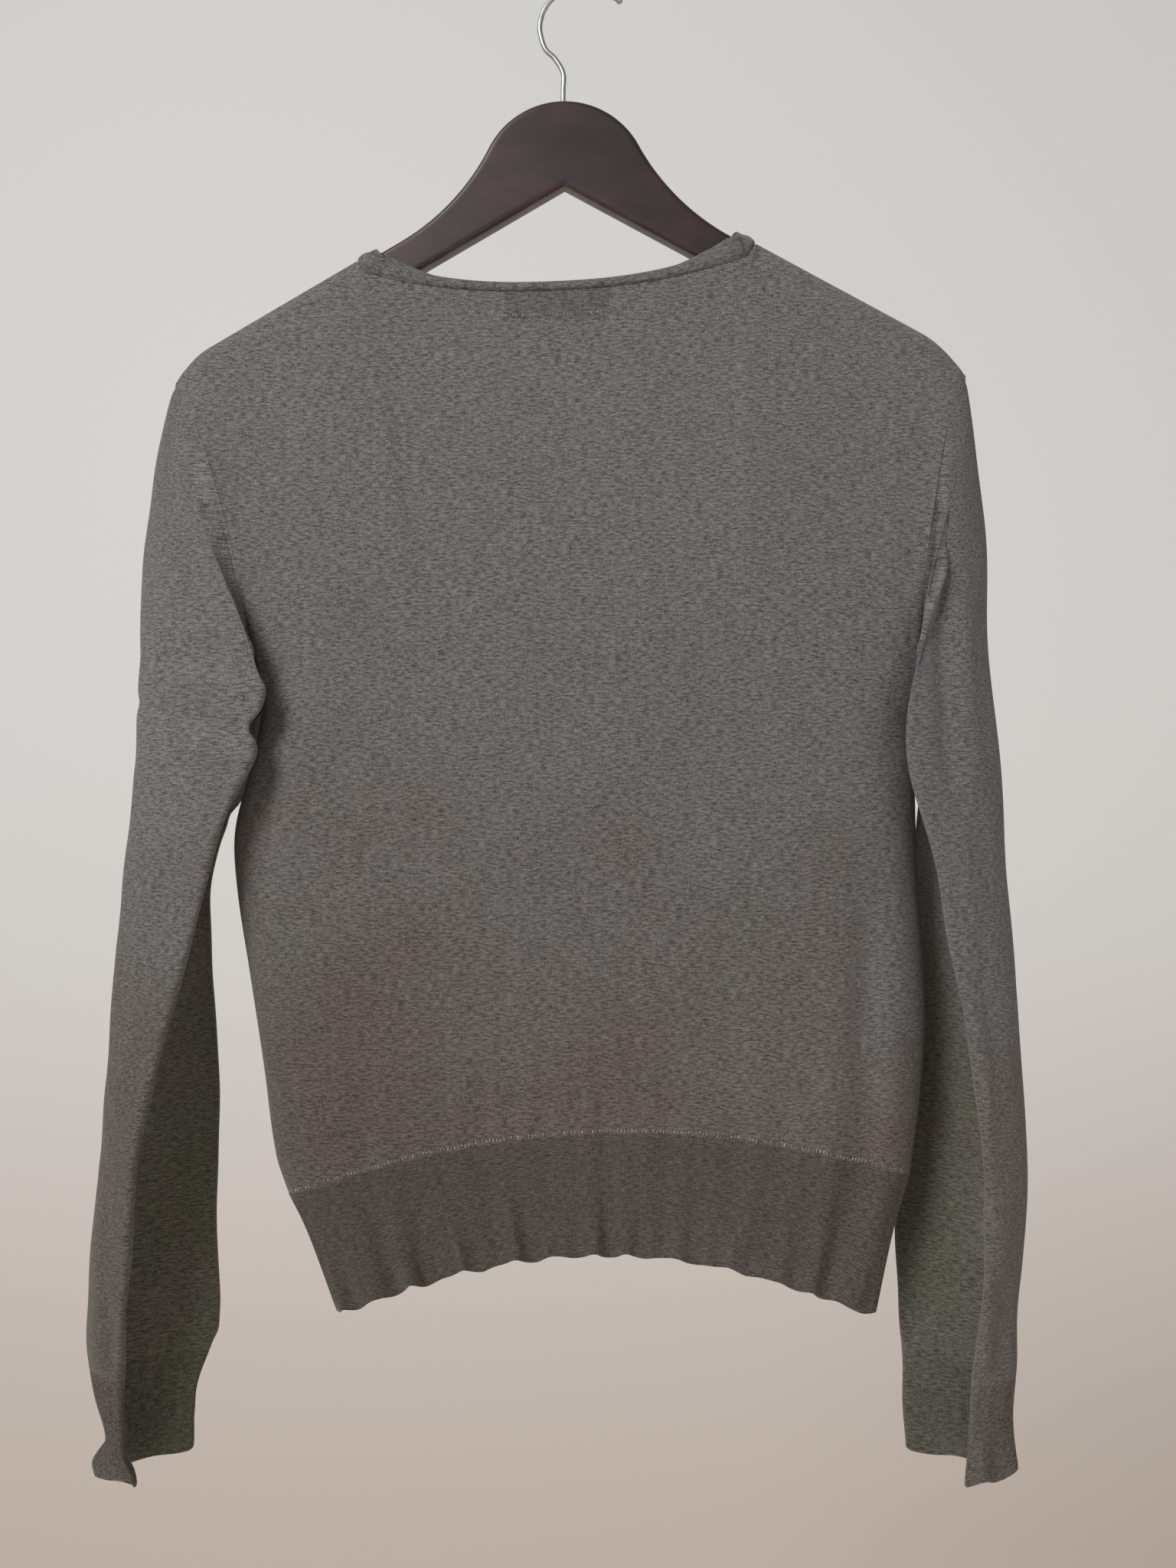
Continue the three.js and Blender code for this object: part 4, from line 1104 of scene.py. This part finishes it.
def rib_height(pen, u, v, pitch, course):
    """The height of fine rib: upright ridges, each with a row of short stitches."""
    ridge = pen.math("COSINE", u * (2 * math.pi / pitch)) * 0.5 + 0.5
    leg = pen.math("ABSOLUTE", pen.math("FRACT", u / pitch) - 0.5)
    loops = pen.math("SINE", (v / course + leg * 0.8) * (2 * math.pi))
    return ridge * 0.8 + ridge * loops * 0.3


def yarn_colour(pen, cloth, place, looks, light):
    """Marl yarn: flecks drawn out along the courses over soft mottling, then broad patches that turn it
    browner: worn blotches at random, and a painted dimming of the light that grows towards the bottom,
    most of all low on the left. Then grey-green: patches at random, and painted shade on the sleeves' far
    wings. Last, duller low on the left. light makes the whole yarn lighter or darker, a painted
    brightness."""
    u, v, _ = cloth.split()
    warp = pen.noise(place, 0.03, 2.0, 0.5) * 0.004
    flecks = pen.noise(pen.vector(u, v * 3.4 + warp, 0.0), 0.0036, 4.0, 0.70)
    mottle = pen.noise(pen.vector(u, v * 1.8, 3.0), 0.007, 3.0, 0.6)
    specks = pen.noise(pen.vector(u, v * 1.8, 7.0), 0.0008, 2.0, 0.7)
    heather = flecks * 0.52 + mottle * 0.08 + specks * 0.40
    marl = heather.between(0.385, 0.615)
    tone = marl.blend(shaded(looks.yarn_dark, light), shaded(looks.yarn_light, light))
    x, y, z = place.split()
    low = (z * -1).between(0.28, 0.74)
    leftwards = (x * -1).between(-0.20, 0.20)
    cloud = pen.noise(place, 0.085, 3.0, 0.6) - 0.5
    # Browner: worn blotches at random, and a painted dimming of the light towards the bottom.
    brown = low * 0.75 + low * leftwards * 0.45 + cloud * 1.5
    # Painted shade: the sleeves' far wings, shaded by the near wings and the body, turn darker grey-green;
    # the noise adds grey-green patches at random.
    far_wing_shade = (x * x).between(0.030, 0.034) * (y + 0.012).between(0.0, 0.016) * low.between(0.05, 0.8)
    moss = far_wing_shade * 0.6 + (pen.noise(pen.vector(x, z, 0.37), 0.05, 2.0, 0.5) - 0.5) * 0.9
    tints = [
        (brown.between(0.0, 1.0), rgba(looks.wear_and_light_falloff_tint)), (moss.between(0.0, 1.0), rgba(looks.moss_and_shade_tint)),
        ((low * leftwards).between(0.35, 0.85), (0.85, 0.87, 0.84, 1.0)),
    ]
    for mask, tint in tints:
        tone = pen.multiply(tone, mask.blend((1.0, 1.0, 1.0, 1.0), tint))
    return tone


CLOTH_SHEEN = {"Roughness": 0.92, "Sheen Weight": 0.22, "Sheen Roughness": 0.45, "Specular IOR Level": 0.2}


def knit_material(sizes, looks):
    """Plain knit in marl wool, with a ribbed darker patch below the middle of the back neck. The patch
    is where five soft-edged masks on x, y and z meet."""
    material, pen, place = new_material("marl_plain_knit", CLOTH_SHEEN)
    cloth = pen.node("ShaderNodeUVMap", {"uv_map": UV_NAME})
    u, v, _ = cloth.split()
    x, y, z = place.split()
    left, right = NECK_PATCH["left"] * MM, NECK_PATCH["right"] * MM
    beside = (x - left).between(0, 0.003) * (right - x).between(0, 0.003)
    upright = (z + 0.1855).between(0, 0.002) * (-0.160 - z).between(0, 0.002)
    patch_mask = beside * upright * (y * -1).between(0, 0.004)
    height = knit_height(pen, u, v, sizes.wale, sizes.course)
    ribs = rib_height(pen, u, v, sizes.rib_pitch, sizes.course)
    fuzz = pen.noise(place, 0.0007, 2.0, 0.7)
    lumps = pen.noise(place, 0.006, 2.0, 0.5)
    relief = height * (1 - patch_mask) + ribs * patch_mask * 1.6 + fuzz * 0.9 + lumps * 1.1
    bump = pen.bump(relief, 0.7, 0.0003)
    tone = yarn_colour(pen, cloth, place, looks, 1.0)
    shade = (1 - height) * 0.16 + patch_mask * (0.30 - ribs * 0.25)
    colour = shade.blend(tone, shaded(looks.yarn_dark, 0.35))
    drive(pen, Base_Color=colour, Normal=bump, Roughness=fuzz * 0.12 + 0.86)
    return material


def rib_material(sizes, looks, name, light):
    """Rib in the same wool, with painted shade between the ribs. light is a painted brightness that makes
    the whole rib lighter or darker.
    """
    material, pen, place = new_material(name, CLOTH_SHEEN)
    cloth = pen.node("ShaderNodeUVMap", {"uv_map": UV_NAME})
    u, v, _ = cloth.split()
    ribs = rib_height(pen, u, v, sizes.rib_pitch, sizes.course)
    fuzz = pen.noise(place, 0.0007, 2.0, 0.7)
    bump = pen.bump(ribs + fuzz * 0.8, 0.5, 0.0003)
    tone = yarn_colour(pen, cloth, place, looks, light)
    shade = (1 - ribs).between(0.35, 1.0) * 0.38
    colour = shade.blend(tone, shaded(looks.yarn_dark, 0.4))
    drive(pen, Base_Color=colour, Normal=bump, Roughness=fuzz * 0.12 + 0.86)
    return material


def thread_material(looks):
    """The pale linking thread of the seams."""
    material, pen, place = new_material("linking_thread", {"Roughness": 0.85, "Sheen Weight": 0.2})
    fleck = pen.noise(place, 0.0022, 2.0, 0.6).between(0.35, 0.7)
    drive(pen, Base_Color=fleck.blend(shaded(looks.yarn_dark, 1.25), shaded(looks.yarn_light, 1.45)))
    return material


def wood_material(looks):
    """Stained wood under satin varnish: grain drawn out along the board, and pale nicks on its edges."""
    constants = {"Specular IOR Level": 0.5, "Coat Roughness": 0.38, "Coat IOR": 1.5}
    material, pen, place = new_material("stained_wood", constants)
    x, y, z = place.split()
    grain = pen.noise(pen.vector(x * 0.07, y, z), 0.0016, 4.0, 0.65)
    pores = pen.noise(pen.vector(x * 0.05, y * 1.5, z), 0.0006, 1.0, 0.5)
    smear = pen.noise(pen.vector(x * 0.5, y, z), 0.035, 3.0, 0.6)
    stain = (grain * 0.10 + smear - 0.05).between(0.36, 0.66)
    tone = stain.blend(rgba(looks.wood_dark), rgba(looks.wood_light))
    edge = pen.node("ShaderNodeAttribute", {"attribute_name": "edge_wear"}, output=2)
    nicks = edge.between(0.35, 1.0) * pen.noise(place, 0.0035, 2.0, 0.6).between(0.66, 0.74)
    rubbed = edge.between(0.2, 1.0) * pen.noise(place, 0.02, 2.0, 0.5).between(0.4, 0.75) * 0.25
    worn = pen.math("MAXIMUM", nicks * 0.8, rubbed).blend(tone, rgba(looks.wood_bare))
    height = grain * 0.6 + pores.between(0.3, 0.45) * 0.8 - nicks * 1.5
    drive(
        pen, Base_Color=worn, Normal=pen.bump(height, 0.25, 0.0002),
        Roughness=smear * 0.22 + 0.34, Coat_Weight=0.40 - nicks * 0.4)
    return material


def steel_material(looks):
    """Bright steel wire, with fine drawing lines and a few dull spots."""
    material, pen, place = new_material("bright_steel_wire", {"Metallic": 1.0})
    x, y, z = place.split()
    lines = pen.noise(pen.vector(x, y, z * 0.08), 0.0004, 2.0, 0.5)
    dull = pen.noise(place, 0.006, 3.0, 0.6).between(0.45, 0.7)
    drive(
        pen, Base_Color=dull.blend(rgba(looks.steel), shaded(looks.steel, 0.7)),
        Normal=pen.bump(lines, 0.15, 0.00005), Roughness=dull * 0.15 + lines * 0.1 + 0.36)
    return material


def backdrop_material(colour):
    """Matt paint with a faint painted glow of its own, so that it stays pale behind the object. Both grow
    dimmer and browner towards the floor, a painted falloff of the light."""
    constants = {"Roughness": 0.95, "Specular IOR Level": 0.1, "Emission Strength": 0.34}
    material, pen, place = new_material("pale_backdrop", constants)
    height = place.split()[2]
    dim_falloff_colour = tuple(c * share for c, share in zip(colour, (0.70, 0.56, 0.47)))
    paint = height.between(-2.6, -0.3).blend(rgba(dim_falloff_colour), rgba(colour))
    drive(pen, Base_Color=paint, Emission_Color=paint)
    return material


# ---- What a user can change ----


def length_property(name, description, default):
    return bpy.props.FloatProperty(
        name=name, description=description, default=default, min=0.0, subtype="DISTANCE", unit="LENGTH",
        precision=5)


def power_property(name, description, default):
    return bpy.props.FloatProperty(
        name=name, description=description, default=default, min=0.0, unit="POWER")


def colour_property(name, description, default):
    return bpy.props.FloatVectorProperty(
        name=name, description=description, default=default, size=3, min=0.0, max=1.0, subtype="COLOR")


class JumperSizes(bpy.types.PropertyGroup):
    """Sizes of the cloth and its stitches."""

    cloth: length_property("Cloth", "Thickness of the plain knit", 0.0015)
    rib: length_property("Rib", "Thickness of the hem and cuff ribs", 0.0018)
    band: length_property("Neckband", "Thickness of the doubled neckband", 0.0020)
    wale: length_property("Wale", "Width of one column of plain stitches", 0.00115)
    course: length_property("Course", "Height of one row of stitches", 0.00085)
    rib_pitch: length_property("Rib pitch", "Width of one rib", 0.00110)
    rib_height: length_property("Rib height", "How far a rib stands up", 0.00013)
    edge_wave: length_property("Edge wave", "Height of the scallops along the ribbed edges", 0.0022)
    stitch_pitch: length_property("Stitch pitch", "Distance between the linking stitches", 0.0019)


class JumperLooks(bpy.types.PropertyGroup):
    """Colours of the jumper and its hanger."""

    yarn_light: colour_property("Light yarn", "The lighter fibres of the marl", (0.285, 0.279, 0.277))
    yarn_dark: colour_property("Dark yarn", "The darker fibres of the marl", (0.054, 0.053, 0.052))
    # Also paints the dimming of the light towards the bottom, besides the worn patches.
    wear_and_light_falloff_tint: colour_property("Wear tint", "What the worn patches turn the yarn to", (0.87, 0.745, 0.655))
    # Also carries the painted shade on the sleeves' far wings, besides the random grey-green patches.
    moss_and_shade_tint: colour_property("Moss tint", "What the duller patches turn the yarn to", (0.74, 0.91, 0.72))
    wood_light: colour_property("Light wood", "The wood's lighter grain", (0.041, 0.0115, 0.0125))
    wood_dark: colour_property("Dark wood", "The wood's darker grain", (0.016, 0.006, 0.007))
    wood_bare: colour_property("Bare wood", "Wood that shows through the nicks", (0.34, 0.22, 0.15))
    steel: colour_property("Steel", "The hook's wire", (0.50, 0.51, 0.50))


class StageSettings(bpy.types.PropertyGroup):
    """The backdrop, the lights and the camera."""

    backdrop: colour_property("Backdrop", "Paint of the floor and the wall", (0.70, 0.70, 0.69))
    key_power: power_property("Key light", "Power of the main light", 52.0)
    fill_power: power_property("Fill light", "Power of the fill light", 9.0)
    camera_distance: length_property("Camera distance", "From the camera to the hanger", 0.80)


# ---- Operators ----


class BuildBody(bpy.types.Operator):
    """Make the back and front panels"""

    bl_idname = "jumper.body"
    bl_label = "Body panels"

    def execute(self, context):
        sizes, looks = context.scene.jumper_sizes, context.scene.jumper_looks
        material = knit_material(sizes, looks)
        for face in ("back", "front"):
            piece = build_panel(face, sizes, material)
        return {"FINISHED"}


class BuildRibs(bpy.types.Operator):
    """Make the hem rib and the neckband"""

    bl_idname = "jumper.ribs"
    bl_label = "Hem and neck ribs"

    def execute(self, context):
        sizes, looks = context.scene.jumper_sizes, context.scene.jumper_looks
        # Painted shade: the hem rib is painted darker than the plain knit, and the neckband and cuffs a
        # little darker, for the shade between the ribs and how light falls on them.
        hem = build_hem(sizes, rib_material(sizes, looks, "marl_hem_rib", 0.72))
        neck = build_neckband(sizes, rib_material(sizes, looks, "marl_fine_rib", 0.92))
        stitches = build_stitches(sizes, thread_material(looks))
        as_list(stitches[:2])
        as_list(stitches[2:])
        return {"FINISHED"}


class BuildSleeves(bpy.types.Operator):
    """Make the two sleeves with their cuffs"""

    bl_idname = "jumper.sleeves"
    bl_label = "Sleeves and cuffs"

    def execute(self, context):
        sizes = context.scene.jumper_sizes
        knit, rib = bpy.data.materials["marl_plain_knit"], bpy.data.materials["marl_fine_rib"]
        for side in (LEFT, RIGHT):
            sleeve = build_sleeve(side, sizes, knit)
            cuff = build_cuff(side, sizes, rib)
        return {"FINISHED"}


class BuildHanger(bpy.types.Operator):
    """Make the wooden board and its steel hook"""

    bl_idname = "jumper.hanger"
    bl_label = "Hanger"

    def execute(self, context):
        looks = context.scene.jumper_looks
        build_board(wood_material(looks))
        build_hook(steel_material(looks))
        return {"FINISHED"}


class BuildStage(bpy.types.Operator):
    """Make the pale backdrop, the soft lights and the camera"""

    bl_idname = "jumper.stage"
    bl_label = "Stage"

    def execute(self, context):
        settings = context.scene.jumper_stage
        make_backdrop(settings)
        make_lights(settings)
        make_camera(settings)
        return {"FINISHED"}


def make_backdrop(settings):
    """One sheet: a level floor that turns up through a quarter circle into a wall."""
    low, high = (np.array(corner) for corner in CAD_BOX)
    floor, wall, radius = low[2] - 1.25, high[1] + 1.9, 0.7
    turn = np.linspace(0, np.pi / 2, 24)
    y = np.concatenate([[-6.0], wall - radius + radius * np.sin(turn), [wall]])
    z = np.concatenate([[floor], floor + radius - radius * np.cos(turn), [4.5]])
    x = np.array([-7.0, 7.0])
    points = stack(x[None, :], y[:, None], z[:, None])
    rows_of, columns_of = grid_faces(len(y), len(x), False, False)
    faces = rows_of * len(x) + columns_of
    make_object("backdrop", points / MM, [faces], backdrop_material(settings.backdrop))


def aim(thing, target):
    """Turns a light or the camera to look at a point."""
    way = np.array(target) - np.array(thing.location)
    thing.rotation_euler = (
        math.atan2(math.hypot(way[0], way[1]), -way[2]), 0, math.atan2(way[1], way[0]) - math.pi / 2)


def make_lights(settings):
    """Three round lights aimed at the object's middle, at fixed places from it, and a dim white sky."""
    low, high = (np.array(corner) for corner in CAD_BOX)
    middle = (low + high) / 2
    plan = [
        ("key_light", (-1.35, -1.75, 1.35), 1.3, settings.key_power, (0.97, 0.99, 1.0)),
        ("fill_light", (1.5, -1.9, 0.1), 1.6, settings.fill_power, (1.0, 0.97, 0.94)),
        ("low_light", (-0.3, -1.6, -1.4), 1.2, settings.fill_power * 0.5, (1.0, 0.80, 0.66)),
    ]
    for name, offset, size, power, colour in plan:
        data = bpy.data.lights.new(name, "AREA")
        data.shape = "DISK"
        data.size = size
        data.energy = power
        data.color = colour
        light = bpy.data.objects.new(name, data)
        light.location = middle + np.array(offset)
        aim(light, middle)
        bpy.context.scene.collection.objects.link(light)
    world = bpy.context.scene.world or bpy.data.worlds.new("studio")
    bpy.context.scene.world = world
    world.use_nodes = True
    sky = world.node_tree.nodes["Background"]
    sky.inputs["Color"].default_value = (1.0, 0.99, 0.98, 1.0)
    sky.inputs["Strength"].default_value = 0.22
    bpy.context.scene.view_settings.view_transform = "Standard"


def make_camera(settings):
    """A level camera square to the back, at the height of the jumper's middle."""
    data = bpy.data.cameras.new("camera")
    data.lens = 33.5
    data.sensor_width = 36
    camera = bpy.data.objects.new("camera", data)
    camera.location = (0.0038, -settings.camera_distance, -0.4355)
    camera.rotation_euler = (math.pi / 2, 0, 0)
    bpy.context.scene.collection.objects.link(camera)
    bpy.context.scene.camera = camera


# ---- Panel and registration ----


class JumperPanel(bpy.types.Panel):
    """Lists the steps that build the jumper"""

    bl_idname = "JUMPER_PT_steps"
    bl_label = "Jumper on a hanger"
    bl_space_type = "VIEW_3D"
    bl_region_type = "UI"
    bl_category = "Jumper"

    def draw(self, context):
        for step in STEPS:
            self.layout.operator(step.bl_idname)
        for group in (context.scene.jumper_sizes, context.scene.jumper_looks, context.scene.jumper_stage):
            for name in group.__annotations__:
                self.layout.prop(group, name)


STEPS = (BuildHanger, BuildBody, BuildRibs, BuildSleeves, BuildStage)
CLASSES = (JumperSizes, JumperLooks, StageSettings, *STEPS, JumperPanel)


def register():
    for each in CLASSES:
        bpy.utils.register_class(each)
    bpy.types.Scene.jumper_sizes = bpy.props.PointerProperty(type=JumperSizes)
    bpy.types.Scene.jumper_looks = bpy.props.PointerProperty(type=JumperLooks)
    bpy.types.Scene.jumper_stage = bpy.props.PointerProperty(type=StageSettings)


def unregister():
    del bpy.types.Scene.jumper_stage
    del bpy.types.Scene.jumper_looks
    del bpy.types.Scene.jumper_sizes
    for each in reversed(CLASSES):
        bpy.utils.unregister_class(each)


def main():
    """Builds everything in order."""
    register()
    bpy.ops.jumper.hanger()
    bpy.ops.jumper.body()
    bpy.ops.jumper.ribs()
    bpy.ops.jumper.sleeves()
    bpy.ops.jumper.stage()


if __name__ == "__main__":
    main()
